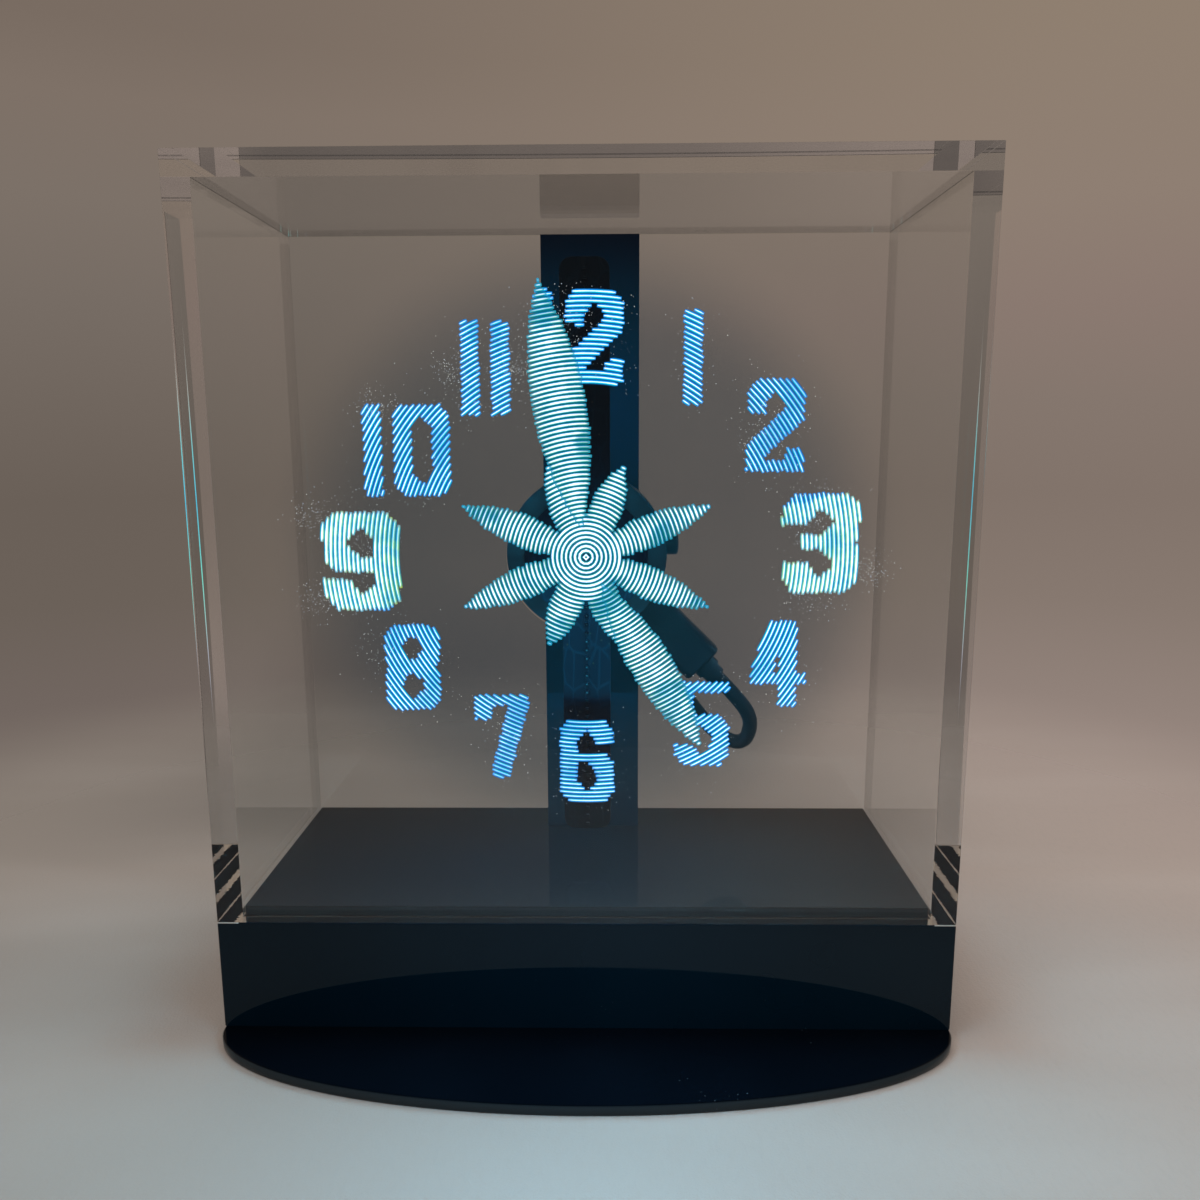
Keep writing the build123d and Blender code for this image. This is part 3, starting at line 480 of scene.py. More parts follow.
coreTones = {"gap": (0.1, 0.105, 0.115, 1), "sheet": (0.26, 0.27, 0.29, 1), "varnish": (0.16, 0.12, 0.08, 1)}


def layeredSteel(name):
    material, look = newLook(name)
    place = look.place()
    settings = {"wave_type": "BANDS", "bands_direction": "Y"}
    sheets = look.add("ShaderNodeTexWave", settings, {"Vector": place, "Scale": 600, "Distortion": 0.2})
    varnish = look.noise(place, 300, 3)
    colour = look.mix(sheets.rise(0.2, 0.8), coreTones["gap"], coreTones["sheet"])
    colour = look.mix(varnish.rise(0.5, 0.7) * 0.4, colour, coreTones["varnish"])
    relief = look.bump(sheets, 0.5, 0.0001)
    look.surface({"Base Color": colour, "Metallic": 0.7, "Roughness": 0.34 + varnish * 0.15,
                  "Normal": relief})
    return material


coilTones = {"gap": (0.18, 0.05, 0.02, 1), "wire": (0.78, 0.34, 0.15, 1), "enamel": (0.5, 0.17, 0.07, 1)}


def copperWinding(name, pitch):
    material, look = newLook(name)
    turns = look.rings(pitch, 0.6)
    enamel = look.noise(look.place(), 500, 3)
    colour = look.mix(turns.rise(0.1, 0.6), coilTones["gap"], coilTones["wire"])
    colour = look.mix(enamel.rise(0.45, 0.75) * 0.5, colour, coilTones["enamel"])
    relief = look.bump(turns, 0.8, 0.00015)
    look.surface({"Base Color": colour, "Metallic": 0.9, "Roughness": 0.2 + enamel * 0.15,
                  "Normal": relief})
    return material


def brushedSteel(name, pale, dark, rough, metallic=1.0):
    material, look = newLook(name)
    place = look.place()
    brushed = look.noise(look.shift(place, stretch=(1, 0.06, 1)), 5200, 3)
    stain = look.noise(place, 320, 3)
    colour = look.mix(brushed * 0.5 + stain.rise(0.4, 0.75) * 0.5, pale, dark)
    relief = look.bump(brushed, 0.12, 0.00003)
    look.surface({"Base Color": colour, "Metallic": metallic, "Roughness": rough + brushed * 0.14,
                  "Normal": relief})
    return material


boardTones = {"mask": (0.0002, 0.0055, 0.011, 1), "track": (0.0006, 0.008, 0.015, 1),
              "pad": (0.05, 0.05, 0.04, 1)}


def circuitBoard(name, flat):
    # flat: the two directions in which the board's face lies
    material, look = newLook(name)
    place = look.place()
    first, second = place.part(flat[0]), place.part(flat[1])
    face = look.add("ShaderNodeCombineXYZ", {}, {"X": first, "Y": second})
    tracks = look.cells(look.shift(face, stretch=(1, 0.45, 1)), 260, "DISTANCE_TO_EDGE")
    line = 1 - tracks.rise(0.03, 0.07)
    pads = 1 - look.cells(face, 420).rise(0.1, 0.16)
    pads = pads * look.noise(face, 130, 2).rise(0.52, 0.6)
    mask = look.noise(place, 900, 2)
    colour = look.mix(line, boardTones["mask"], boardTones["track"])
    colour = look.mix(pads, colour, boardTones["pad"])
    relief = look.bump(line + pads * 0.6 + mask * 0.1, 0.35, 0.00006)
    look.surface({"Base Color": colour, "Metallic": pads * 0.9, "Roughness": 0.3 + mask * 0.12,
                  "Normal": relief, "Specular IOR Level": 0.2})
    return material


def chipPlastic(name, deep, pale):
    material, look = newLook(name)
    place = look.place()
    grain = look.noise(place, 4200, 3, 0.7)
    bloom = look.noise(place, 260, 3)
    colour = look.mix(bloom.rise(0.3, 0.8), deep, pale)
    look.surface({"Base Color": colour, "Roughness": 0.6 + grain * 0.15,
                  "Normal": look.bump(grain, 0.4, 0.00005)})
    return material


lampBarStyle = {"pitch": 2.58 * mm, "first": 0.5 * mm, "lens": 0.26 * mm,
                "package": (0.0005, 0.0065, 0.0125, 1), "glass": (0.02, 0.035, 0.04, 1)}


def barLamps(name, style):
    # black packages, each with one small pale lens in the middle of its face
    material, look = newLook(name)
    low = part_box("rotor_lamps")[0]
    place = look.place()
    across = abs(place.part("X"))
    along = place.part("Z") - (low.z + style["first"])
    cell = look.math("ROUND", along / style["pitch"], 0)
    beside = abs(along - cell * style["pitch"])
    away = (across ** 2 + beside ** 2) ** 0.5
    lens = 1 - away.rise(style["lens"] * 0.75, style["lens"])
    grain = look.noise(place, 3000, 2)
    colour = look.mix(lens, style["package"], style["glass"])
    look.surface({"Base Color": colour, "Roughness": 0.3 + grain * 0.2 - lens * 0.2,
                  "Normal": look.bump(lens, 0.5, 0.0001), "Specular IOR Level": 0.2})
    return material


def leadSheath(name, deep, pale):
    material, look = newLook(name)
    place = look.place()
    grain = look.noise(place, 2200, 3, 0.6)
    rubbed = look.noise(place, 130, 4)
    colour = look.mix(rubbed.rise(0.35, 0.75), deep, pale)
    rough = 0.36 + grain * 0.16 + rubbed.rise(0.5, 0.8) * 0.12
    relief = look.bump(grain + rubbed, 0.22, 0.00008)
    look.surface({"Base Color": colour, "Roughness": rough, "Normal": relief, "Specular IOR Level": 0.3})
    return material


def nylon(name, deep, pale):
    material, look = newLook(name)
    place = look.place()
    swirl = look.noise(place, 380, 3)
    colour = look.mix(swirl.rise(0.3, 0.8), deep, pale)
    look.surface({"Base Color": colour, "Roughness": 0.4 + swirl * 0.15, "IOR": 1.53,
                  "Normal": look.bump(swirl, 0.1, 0.0001)})
    return material


finishes = {
    "outerAcrylic": blackAcrylic("outerBlackAcrylic", blackAcrylicStyle["outer"]),
    "plateAcrylic": blackAcrylic("plateBlackAcrylic", blackAcrylicStyle["plate"]),
    "plinthAcrylic": blackAcrylic("plinthBlackAcrylic", blackAcrylicStyle["plinth"]),
    "postAcrylic": blackAcrylic("postBlackAcrylic", blackAcrylicStyle["post"]),
    "hub": hubPlastic("hubSatinPlastic", (0.0015, 0.009, 0.014, 1), (0.004, 0.016, 0.023, 1)),
    "steel": brushedSteel("plainSteel", (0.56, 0.57, 0.58, 1), (0.36, 0.37, 0.39, 1), 0.22),
    "screws": brushedSteel("blackedSteel", (0.06, 0.062, 0.066, 1), (0.025, 0.026, 0.03, 1), 0.34, 0.85),
    "aluminium": turnedMetal("turnedAluminium", (0.74, 0.75, 0.77, 1), (0.56, 0.57, 0.6, 1), 0.24, 0.22 * mm),
    "magnets": brushedSteel("nickelMagnet", (0.6, 0.6, 0.6, 1), (0.44, 0.44, 0.45, 1), 0.12),
    "core": layeredSteel("layeredCoreSteel"),
    "coils": copperWinding("statorWinding", 0.42 * mm),
    "rings": copperWinding("ringWinding", 0.5 * mm),
    "barBoard": circuitBoard("barBoard", ("X", "Z")),
    "baseBoard": circuitBoard("baseBoard", ("X", "Y")),
    "chips": chipPlastic("chipPlastic", (0.018, 0.018, 0.02, 1), (0.036, 0.036, 0.038, 1)),
    "lamps": barLamps("lampPackages", lampBarStyle),
    "sheath": leadSheath("leadSheath", (0.0025, 0.0065, 0.0105, 1), (0.0065, 0.0125, 0.0175, 1)),
    "nylon": nylon("darkNylon", (0.012, 0.013, 0.015, 1), (0.026, 0.027, 0.03, 1)),
}

finishedNodes = {
    "outerAcrylic": ["base_front", "base_left", "base_rear", "base_right", "base_deck", "corner_blocks"],
    "plateAcrylic": ["foot_plate"],
    "plinthAcrylic": ["plinth"],
    "postAcrylic": ["post"],
    "hub": ["hub_back", "hub_shell", "power_button"],
    "steel": ["bearings", "rotor_shaft", "shaft_clip", "hub_socket", "plug_tongue", "power_inlet",
              "board_screws", "motor_screws", "rotor_screws"],
    "screws": ["foot_screws", "post_screws", "mount_screws", "hub_screws"],
    "aluminium": ["motor_base", "rotor_bell"],
    "magnets": ["rotor_magnets", "index_magnet"],
    "core": ["stator_core"],
    "coils": ["stator_coils"],
    "rings": ["receiver_coil", "sender_coil"],
    "barBoard": ["control_board", "rotor_board"],
    "baseBoard": ["power_board"],
    "chips": ["control_chips", "rotor_chips", "power_chip", "index_sensor", "button_switch"],
    "lamps": ["rotor_lamps"],
    "sheath": ["plug_body", "plug_relief"],
    "nylon": ["board_standoffs", "lead_clips", "lead_header", "lead_sleeve", "rotor_spacer"],
}
for finish, names in finishedNodes.items():
    for name in names:
        nodes[name].data.materials.clear()
        nodes[name].data.materials.append(finishes[finish])
lead.data.materials.append(finishes["sheath"])

# how wide in mm the edges of cut sheets and moulded pieces are broken
edgeBreaks = {
    0.35: ["base_front", "base_left", "base_rear", "base_right", "foot_plate", "post"],
    0.25: ["plinth", "plug_body", "plug_relief", "lead_clips", "lead_header", "rotor_board"],
    0.12: ["control_chips", "rotor_chips", "power_chip", "power_inlet", "hub_socket"],
}


def breakEdges(breaks):
    for width, names in breaks.items():
        for name in names:
            node = nodes[name]
            weld = node.modifiers.new("joinFaces", "WELD")
            weld.merge_threshold = 0.002 * mm
            bevel = node.modifiers.new("brokenEdges", "BEVEL")
            bevel.width = width * mm
            bevel.segments = 2
            bevel.limit_method = "ANGLE"
            bevel.angle_limit = math.radians(50)
            bevel.harden_normals = True


breakEdges(edgeBreaks)
print("finishes on", sum(len(names) for names in finishedNodes.values()), "nodes")


# clear case: five glued sheets that refract as one closed shell, with films of glue in the joints

caseStyle = {"lift": 0.05 * mm, "edge": 0.12 * mm, "tint": (0.975, 0.985, 0.98, 1), "wipes": 0.012}
caseNodes = ["case_front", "case_left", "case_rear", "case_right", "case_top"]


def caseSizes():
    lows, highs = zip(*(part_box(name) for name in caseNodes))
    low = Vector(min(corner[i] for corner in lows) for i in range(3))
    high = Vector(max(corner[i] for corner in highs) for i in range(3))
    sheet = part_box("case_top")[1].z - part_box("case_top")[0].z
    return low, high, sheet


def boxCorners(low, high):
    return [(x, y, z) for z in (low[2], high[2]) for x, y in
            ((low[0], low[1]), (high[0], low[1]), (high[0], high[1]), (low[0], high[1]))]


def clearAcrylic(name, style):
    material, look = newLook(name)
    place = look.place()
    wipe = look.noise(look.shift(place, stretch=(1, 1, 0.4)), 30, 5, 0.6)
    look.surface({"Base Color": style["tint"], "Roughness": wipe.rise(0.55, 0.9) * style["wipes"],
                  "IOR": 1.49, "Transmission Weight": 1.0})
    return material


def makeCase(style):
    low, high, sheet = caseSizes()
    bottom = low.z + style["lift"]
    outer = boxCorners((low.x, low.y, bottom), high)
    inner = boxCorners((low.x + sheet, low.y + sheet, bottom),
                       (high.x - sheet, high.y - sheet, high.z - sheet))
    faces = [(4, 5, 6, 7), (15, 14, 13, 12)]
    for side in range(4):
        after = (side + 1) % 4
        faces.append((side, after, after + 4, side + 4))
        faces.append((side + 8, side + 12, after + 12, after + 8))
        faces.append((side, side + 8, after + 8, after))
    shell = newPiece("clearCase", outer + inner, faces, clearAcrylic("clearAcrylic", style))
    bevel = shell.modifiers.new("polishedEdges", "BEVEL")
    bevel.width = style["edge"]
    bevel.segments = 2
    bevel.harden_normals = True
    bevel.limit_method = "ANGLE"
    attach(shell, "case")
    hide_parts(*caseNodes)
    shell.visible_shadow = False


def boxPart(places, faces, low, high):
    # adds a closed box to a piece's places and faces
    start = len(places)
    places += boxCorners(low, high)
    faces += [tuple(start + i for i in side) for side in
              ((0, 3, 2, 1), (4, 5, 6, 7), (0, 1, 5, 4), (1, 2, 6, 5), (2, 3, 7, 6), (3, 0, 4, 7))]


filmStyle = {"thick": 0.03 * mm, "inset": 0.06 * mm, "dark": (0.01, 0.01, 0.01, 1),
             "pale": (0.03, 0.03, 0.03, 1), "least": 0.012, "most": 0.03, "rim": 0.17 * mm, "rimCover": 0.7}


def makeGlueFilms(style):
    # what the glue leaves in the joints of the side and top sheets with the front and rear ones
    low, high, sheet = caseSizes()
    places, faces = [], []
    half, inset = style["thick"] / 2, style["inset"]
    for depth in (low.y + sheet, high.y - sheet):
        for left, right in ((low.x, low.x + sheet), (high.x - sheet, high.x)):
            boxPart(places, faces, (left + inset, depth - half, low.z + 2 * inset),
                    (right - inset, depth + half, high.z - sheet - inset))
        boxPart(places, faces, (low.x + inset, depth - half, high.z - sheet + inset),
                (high.x - inset, depth + half, high.z - inset))
    for left, right in ((low.x, low.x + sheet), (high.x - sheet, high.x)):
        boxPart(places, faces, (left + inset, low.y + sheet + half, high.z - sheet - half),
                (right - inset, high.y - sheet - half, high.z - sheet + half))
    material, look = newLook("glueFilm")
    place = look.place()
    patch = look.noise(look.shift(place, stretch=(1, 1, 0.25)), 45, 2)
    rim = place.part("Z").rise(high.z - style["rim"], high.z - style["rim"] * 0.8)
    rim = rim * place.part("Y").rise(0, mm)  # only at the rear
    cover = style["least"] + patch.rise(0.4, 0.75) * style["most"] + rim * style["rimCover"]
    colour = look.mix(patch, style["dark"], style["pale"])
    look.veil(cover, look.add("ShaderNodeBsdfDiffuse", {}, {"Color": colour}))
    films = newPiece("glueFilms", places, faces, material)
    films.visible_shadow = False
    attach(films, "case")


glintStyle = {"inset": 1.25 * mm, "wide": 0.26 * mm, "deep": 0.06 * mm, "low": 86 * mm, "high": 198 * mm,
              "steps": 28, "lean": 0.35 * mm}
glintTones = [(0.0, tone(120, 112, 106)), (0.2, tone(176, 178, 190)), (0.38, tone(128, 232, 214)),
              (0.55, tone(84, 200, 232)), (0.66, tone(120, 214, 220)), (0.8, tone(186, 190, 184)),
              (1.0, tone(130, 122, 114))]


def makeEdgeGlints(style, tones):
    # painted glints: strips that glow with the dial's light, as caught along the front joints near their
    # outer edges
    low, high, sheet = caseSizes()
    places, faces = [], []
    for side, outer in ((-1, low.x), (1, high.x)):
        start = len(places)
        for step in range(style["steps"] + 1):
            share = step / style["steps"]
            z = style["low"] + (style["high"] - style["low"]) * share
            middle = outer - side * (style["inset"] + style["lean"] * (1 - share))
            half = style["wide"] / 2 * math.sin(math.pi * (0.06 + 0.88 * share)) ** 0.6
            for across, forward in ((-half, 0), (0, -style["deep"]), (half, 0), (0, style["deep"])):
                places.append((middle + across, low.y + sheet + forward, z))
        for step in range(style["steps"]):
            base = start + step * 4
            for corner in range(4):
                after = (corner + 1) % 4
                faces.append((base + corner, base + after, base + after + 4, base + corner + 4))
        faces.append((start + 3, start + 2, start + 1, start))
        last = len(places) - 4
        faces.append((last, last + 1, last + 2, last + 3))
    material, look = newLook("edgeGlint")
    place = look.place()
    share = (place.part("Z") - style["low"]) / (style["high"] - style["low"])
    colour = look.add("ShaderNodeValToRGB", {"stops": tones}, {"Fac": share})
    flicker = look.noise(look.shift(place, stretch=(1, 1, 0.5)), 700, 3)
    side = 1 - place.part("X").rise(-0.01, 0.01) * 0.45  # the right one is fainter
    cover = share.rise(0.0, 0.22) * (1 - share.rise(0.62, 1.0)) * (0.55 + flicker * 0.7) * side
    look.glow(cover, colour, 1.0)
    glints = newPiece("edgeGlints", places, faces, material)
    glints.visible_shadow = False
    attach(glints, "case")


footStyle = {"low": -0.02 * mm, "high": 0.1 * mm, "step": 0.6 * mm, "wave": 0.7 * mm,
             "edges": ((0.3 * mm, 0.25), (4.5 * mm, 0.7)),  # how far in each one is, and how ragged
             "deep": (0.0008, 0.0014, 0.003, 1), "pale": (0.0025, 0.0035, 0.007, 1)}


def makeFootMarks(style):
    # where the side sheets touch the black deck, it shows through their feet as a ragged stripe
    low, high, sheet = caseSizes()
    chance = random.Random(31)
    places, faces = [], []
    steps = int((high.y - low.y - mm) / style["step"])
    for side, outer in ((-1, low.x), (1, high.x)):
        start = len(places)
        for step in range(steps + 1):
            y = low.y + mm / 2 + step * style["step"]
            for inset, share in style["edges"]:
                ragged = chance.uniform(-1, 1) * style["wave"] * share
                for height in (style["low"], style["high"]):
                    places.append((outer - side * (inset + ragged), y, low.z + height))
        for step in range(steps):
            base = start + step * 4
            for first, second in ((0, 1), (1, 3), (3, 2), (2, 0)):
                faces.append((base + first, base + second, base + second + 4, base + first + 4))
        faces.append((start, start + 2, start + 3, start + 1))
        last = len(places) - 4
        faces.append((last, last + 1, last + 3, last + 2))
    material, look = newLook("footContact")
    place = look.place()
    blot = look.noise(place, 420, 3)
    look.surface({"Base Color": look.mix(blot, style["deep"], style["pale"]),
                  "Roughness": 0.4 + blot * 0.2, "Specular IOR Level": 0.0})
    marks = newPiece("footMarks", places, faces, material)
    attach(marks, "base")


makeCase(caseStyle)
makeGlueFilms(filmStyle)
makeEdgeGlints(glintStyle, glintTones)
makeFootMarks(footStyle)
print("case, its joints and its foot")


# light image: each figure is drawn by short arcs, one for each lamp's ring

dial = {"rings": 64, "pitch": 1.29 * mm, "halfWidth": 0.64 * mm, "halfDeep": 0.05 * mm, "step": 1.2 * mm,
        "shortest": 0.7 * mm, "ragged": 0.3 * mm, "sample": 0.15 * mm, "taper": 2.4 * mm, "tip": 0.6,
        "glow": (0.8, 1.0)}


def faceTest(node):
    # tells which places on the dial, measured from its axis, a node's front face covers
    mesh = node.data
    mesh.calc_loop_triangles()
    fronts = [triangle for triangle in mesh.loop_triangles if triangle.normal.y < -0.9]
    corners = [[mesh.vertices[i].co for i in triangle.vertices] for triangle in fronts]

    def test(x, z):
        x, z = x + axis[0], z + axis[2]
        lit = np.zeros(x.shape, bool)
        for first, second, third in corners:
            sides = [(q.x - p.x) * (z - p.z) - (q.z - p.z) * (x - p.x)
                     for p, q in ((first, second), (second, third), (third, first))]
            lit |= (np.minimum.reduce(sides) >= 0) | (np.maximum.reduce(sides) <= 0)
        return lit
    return test


def litRuns(test, seed):
    # for each ring, the stretches of angle that lie in the figure, with slightly uneven ends
    chance = random.Random(seed)
    runs = []
    for ring in range(dial["rings"]):
        radius = (ring + 0.5) * dial["pitch"]
        count = max(90, int(2 * math.pi * radius / dial["sample"]))
        angles = np.arange(count) * 2 * math.pi / count
        lit = test(radius * np.sin(angles), radius * np.cos(angles))
        if lit.all():
            runs.append((radius, 0, 2 * math.pi))
            continue
        for start in np.flatnonzero(lit & ~np.roll(lit, 1)):
            length = np.flatnonzero(~np.roll(lit, -start))[0]
            spare = dial["ragged"] / radius
            first = angles[start] + chance.uniform(-spare, spare)
            last = angles[start] + 2 * math.pi * length / count + chance.uniform(-spare, spare)
            if (last - first) * radius > dial["shortest"]:
                runs.append((radius, first, last))
    return runs


class ArcSheet:
    # gathers the arcs of one figure: places, faces and what the light's finish reads
    words = ("across", "edge", "level", "warm")

    def __init__(self, seed, shade):
        self.places, self.faces = [], []
        self.values = {word: [] for word in self.words}
        self.chance = random.Random(seed)
        self.shade = shade

    def draw(self, runs, depth):
        for radius, first, last in runs:
            length = (last - first) * radius
            steps = max(3, math.ceil(length / dial["step"]))
            closed = length > 2 * math.pi * radius * 0.999
            glow = self.chance.uniform(*dial["glow"])
            start = len(self.places)
            for step in range(steps + (0 if closed else 1)):
                angle = first + (last - first) * step / steps
                inside = 1.0 if closed else min(step, steps - step) * 2 / steps
                edge = 1.0 if closed else min(1.0, inside * length / dial["taper"])
                self.section(radius, angle, depth, edge, inside, glow)
            for step in range(steps):
                low = start + step * 4
                high = start if closed and step == steps - 1 else low + 4
                for side in range(4):
                    after = (side + 1) % 4
                    self.faces.append((low + side, high + side, high + after, low + after))
            if not closed:
                self.faces.append((start + 3, start + 2, start + 1, start))
                end = len(self.places) - 4
                self.faces.append((end, end + 1, end + 2, end + 3))

    def section(self, radius, angle, depth, edge, inside, glow):
        wide, deep = dial["halfWidth"] * (1.0 if edge > 0.01 else dial["tip"]), dial["halfDeep"]
        level, warm = self.shade(radius, math.degrees(angle) % 360, inside)
        for out, forward, across in ((-wide, 0, -1.0), (0, -deep, 0.0), (wide, 0, 1.0), (0, deep, 0.0)):
            x, z = (radius + out) * math.sin(angle), (radius + out) * math.cos(angle)
            self.places.append((axis[0] + x, depth + forward, axis[2] + z))
            for word, value in zip(self.words, (across, edge, level * glow, warm)):
                self.values[word].append(value)

    def piece(self, name, material, body, *stoodFor):
        piece = newPiece(name, self.places, self.faces, material)
        for word in self.words:
            values = piece.data.attributes.new(word, "FLOAT", "POINT")
            values.data.foreach_set("value", np.array(self.values[word], np.float32))
        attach(piece, body)
        if stoodFor:
            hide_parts(*stoodFor)
        piece.visible_shadow = piece.visible_glossy = False
        print("   ", name, len(self.faces), "faces")


# tones across one arc, whose inner and outer edges differ because the lamps' coloured dies lie side by side
# each is given cool and warm
numeralArc = {"gap": ((0.0, 0.1, 0.36, 1), (0.03, 0.25, 0.24, 1)),
              "inner": ((0.0, 0.6, 0.86, 1), (0.34, 0.72, 0.3, 1)),
              "outer": ((0.0, 0.32, 0.92, 1), (0.02, 0.5, 0.6, 1)),
              "ends": ((0.0, 0.26, 0.82, 1), (0.34, 0.42, 0.01, 1)),
              "core": ((1.2, 1.5, 1.5, 1), (1.3, 1.45, 1.35, 1)),
              "thin": 0.03, "thick": 0.23, "fringe": 0.3, "cover": 0.95, "patch": 0.5, "strength": 1.2}
handArc = {"gap": ((0.0, 0.13, 0.2, 1), (0.0, 0.16, 0.2, 1)),
           "inner": ((0.01, 0.5, 0.58, 1), (0.06, 0.5, 0.34, 1)),
           "outer": ((0.0, 0.3, 0.66, 1), (0.0, 0.28, 0.5, 1)),
           "ends": ((0.0, 0.32, 0.66, 1), (0.02, 0.34, 0.42, 1)),
           "core": ((1.15, 1.25, 1.25, 1), (1.05, 1.2, 1.15, 1)),
           "thin": 0.1, "thick": 0.52, "fringe": 0.1, "cover": 0.97, "patch": 0.85, "strength": 1.2}


def arcLight(name, style):
    material, look = newLook(name)
    across, edge, level, warm = (look.add("ShaderNodeAttribute", {"attribute_name": word}, {}, out="Fac")
                                 for word in ArcSheet.words)
    place = look.place()
    drift = look.noise(place, 260, 3, 0.6)
    patch = look.noise(place, 75, 2).rise(0.5, 0.66) * style["patch"]
    tint = {word: look.mix(warm * (0.55 + drift.rise(0.38, 0.62) * 0.45), *style[word])
            for word in ("gap", "inner", "outer", "ends", "core")}
    away = abs(across - 0.06)
    core = level * (style["thick"] - style["thin"]) * (0.6 + drift.rise(0.3, 0.7) * 0.4)
    core = core * (1 - patch) + style["thin"]
    white = 1 - away.rise(core - 0.14, core + 0.14)
    white = white * edge.rise(0.0, 0.4 + warm * 0.6) * level.rise(0.1, 0.45) * (1 - patch * 0.6)
    fringe = look.mix(across.rise(-0.3, 0.3), tint["inner"], tint["outer"])
    fringe = look.mix(away.rise(core + style["fringe"], core + style["fringe"] + 0.4), fringe, tint["gap"])
    fringe = look.mix((1 - edge.rise(0.1, 0.9)) * 0.85, fringe, tint["ends"])
    colour = look.mix(white, fringe, tint["core"])
    cover = (1 - abs(across).rise(0.86, 1.0) * 0.3) * (0.35 + level * 0.65) * style["cover"]
    cover = cover * (1 - look.bounced("Glossy"))  # no ghosts in the sheets
    look.glow(cover, colour, style["strength"])
    return material


numeralTones = {"bold": (90, 270), "boldWide": 14, "inner": 54 * mm, "outer": 62 * mm,
                "whiter": {4: 0.34, 5: 0.22, 11: 0.22, 0: 0.16}}  # by the hour


def numeralShade(radius, turn, inside):
    # three and nine are greener, and brighter towards the rim; the others wax and wane
    if min(abs(turn - middle) for middle in numeralTones["bold"]) < numeralTones["boldWide"]:
        inner, outer = numeralTones["inner"], numeralTones["outer"]
        outward = max(0.0, min(1.0, (radius - inner) / (outer - inner)))
        return 1.0 + 1.3 * outward, 1.0 - 0.25 * outward
    level = 0.86 + 0.12 * math.sin(math.radians(turn * 5)) + 0.08 * math.sin(radius / (2.1 * mm))
    return level + numeralTones["whiter"].get(round(turn / 30) % 12, 0), 0.0


def leafShade(radius, turn, inside):
    # a leaf has a bright rib and darker flanks
    flank = (1 - inside) * min(1.0, radius / (9 * mm))
    return 1 - 0.55 * flank ** 1.4, 0.9 * flank


sparkStyle = {"count": 3600, "spread": 3.4 * mm, "least": 0.05 * mm, "most": 0.14 * mm,
              "level": (0.15, 0.95), "strength": 1.3,
              "cool": (0.5, 0.62, 0.75, 1), "warm": (0.75, 0.78, 0.72, 1),
              # clouds of them: hour on the dial, how far out and how wide in mm
              "clouds": [(9.3, 81, 3), (8.7, 80, 3), (9.0, 64, 4), (2.7, 66, 4), (3.3, 66, 4), (3.1, 82, 3),
                         (10.8, 65, 3), (11.3, 57, 3), (1.8, 62, 5), (11.8, 66, 5), (8.2, 66, 5),
                         (10.2, 73, 3)]}


def makeSparks(runs, depth, style):
    # stray specks of light about the figures
    chance = random.Random(77)
    places, faces, level = [], [], []
    for i in range(style["count"]):
        if i % 2:
            hour, away, wide = chance.choice(style["clouds"])
            reach = (away + chance.gauss(0, wide)) * mm
            angle = hour * math.pi / 6 + chance.gauss(0, wide) / away
        else:
            radius, first, last = chance.choice(runs)
            angle = chance.choice((first, last)) + chance.gauss(0, style["spread"]) / radius
            reach = radius + chance.gauss(0, style["spread"])
        size = chance.uniform(style["least"], style["most"])
        x, z = axis[0] + reach * math.sin(angle), axis[2] + reach * math.cos(angle)
        start = len(places)
        places += [(x - size, depth, z - size), (x + size, depth, z - size), (x, depth, z + size),
                   (x, depth - size, z)]
        faces += [tuple(start + corner for corner in side) for side in
                  ((0, 1, 2), (0, 3, 1), (1, 3, 2), (2, 3, 0))]
        level += [chance.uniform(*style["level"])] * 4
    material, look = newLook("strayLight")
    share = look.add("ShaderNodeAttribute", {"attribute_name": "level"}, {}, out="Fac")
    hue = look.noise(look.place(), 900, 1)
    colour = look.mix(hue.rise(0.35, 0.65), style["cool"], style["warm"])
    look.glow(share, colour, style["strength"])
    sparks = newPiece("numeralSparks", places, faces, material)
    values = sparks.data.attributes.new("level", "FLOAT", "POINT")
    values.data.foreach_set("value", np.array(level, np.float32))
    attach(sparks, "base")
    sparks.visible_shadow = sparks.visible_glossy = False


blurStyle = {"inner": 23.4 * mm, "outer": 95 * mm, "fade": 60 * mm, "front": -1.5 * mm, "thick": 0.1 * mm,
             "spokes": 120, "rings": 12, "cover": 0.25, "tone": (0.001, 0.03, 0.05, 1)}


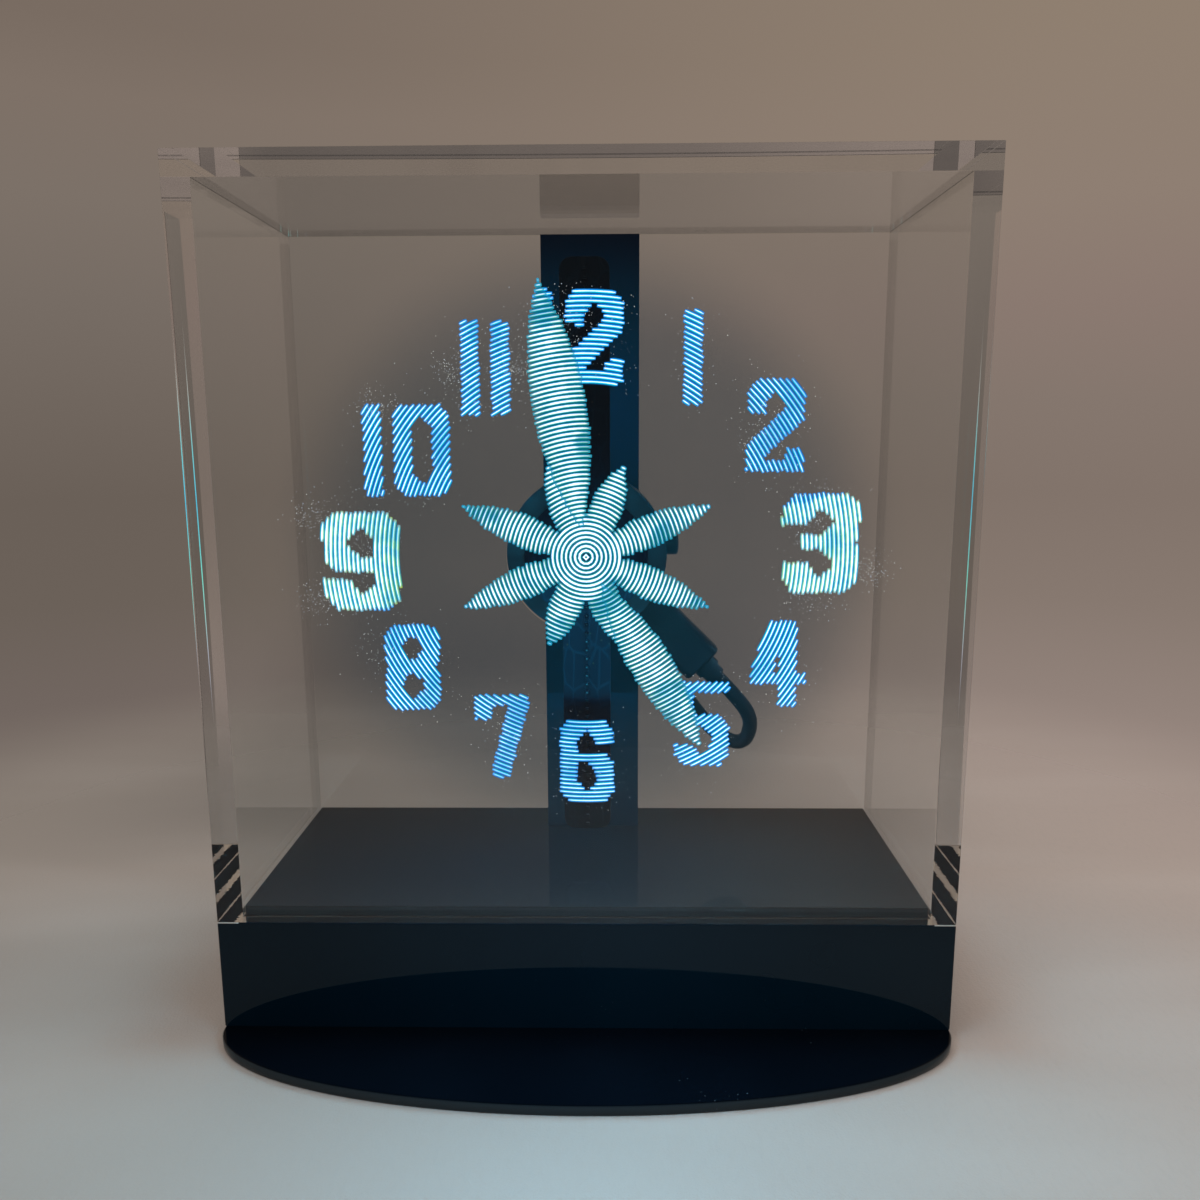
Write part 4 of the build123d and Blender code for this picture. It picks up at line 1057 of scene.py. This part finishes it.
def makeBarBlur(style):
    # the spinning bar dims what lies behind the drawn light, less towards its ends; the disc also glows a
    # faint blue, a painted glow
    places, faces = [], []
    spokes, rings = style["spokes"], style["rings"]
    for depth in (style["front"], style["front"] + style["thick"]):
        for ring in range(rings + 1):
            radius = style["inner"] + (style["outer"] - style["inner"]) * ring / rings
            for spoke in range(spokes):
                angle = 2 * math.pi * spoke / spokes
                x, z = radius * math.sin(angle), radius * math.cos(angle)
                places.append((axis[0] + x, depth, axis[2] + z))
    back = (rings + 1) * spokes
    for spoke in range(spokes):
        after = (spoke + 1) % spokes
        for ring in range(rings):
            low, high = ring * spokes, (ring + 1) * spokes
            faces.append((low + spoke, low + after, high + after, high + spoke))
            faces.append((back + low + spoke, back + high + spoke, back + high + after, back + low + after))
        rim = rings * spokes
        faces.append((spoke, back + spoke, back + after, after))
        faces.append((rim + spoke, rim + after, back + rim + after, back + rim + spoke))
    material, look = newLook("barBlur")
    away = look.add("ShaderNodeVectorMath", {"operation": "LENGTH"}, {0: look.centred()}, out="Value")
    cloud = look.noise(look.place(), 30, 3)
    cover = (1 - away.rise(style["fade"], style["outer"])) * (0.9 + cloud * 0.2) * style["cover"]
    look.glow(cover, style["tone"], 1.0)
    blur = newPiece("barBlur", places, faces, material)
    blur.visible_shadow = blur.visible_glossy = False
    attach(blur, "base")


def makeLightImage():
    handLight = arcLight("handLight", handArc)
    figures = [
        # piece, node, body, seed, shade, finish
        ("numeralArcs", "dial_numerals", "base", 11, numeralShade, arcLight("numeralLight", numeralArc)),
        ("rosetteArcs", "dial_rosette", "base", 12, leafShade, handLight),
        ("minuteArcs", "minute_hand", "minute_image", 14, leafShade, handLight),
        ("hourArcs", "hour_hand", "hour_image", 15, leafShade, handLight),
    ]
    for name, node, body, seed, shade, finish in figures:
        low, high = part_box(node)
        depth = (low.y + high.y) / 2
        runs = litRuns(faceTest(nodes[node]), seed)
        sheet = ArcSheet(seed, shade)
        sheet.draw(runs, depth)
        sheet.piece(name, finish, body, node)
        if node == "dial_numerals":
            makeSparks(runs, depth, sparkStyle)


makeBarBlur(blurStyle)
makeLightImage()
print("light image")

scene = bpy.context.scene
scene.view_settings.view_transform = "Standard"
scene.cycles.max_bounces = 24
scene.cycles.transmission_bounces = 20
scene.cycles.glossy_bounces = 8
scene.cycles.diffuse_bounces = 3
scene.cycles.transparent_max_bounces = 48
scene.cycles.caustics_refractive = False
scene.cycles.caustics_reflective = False
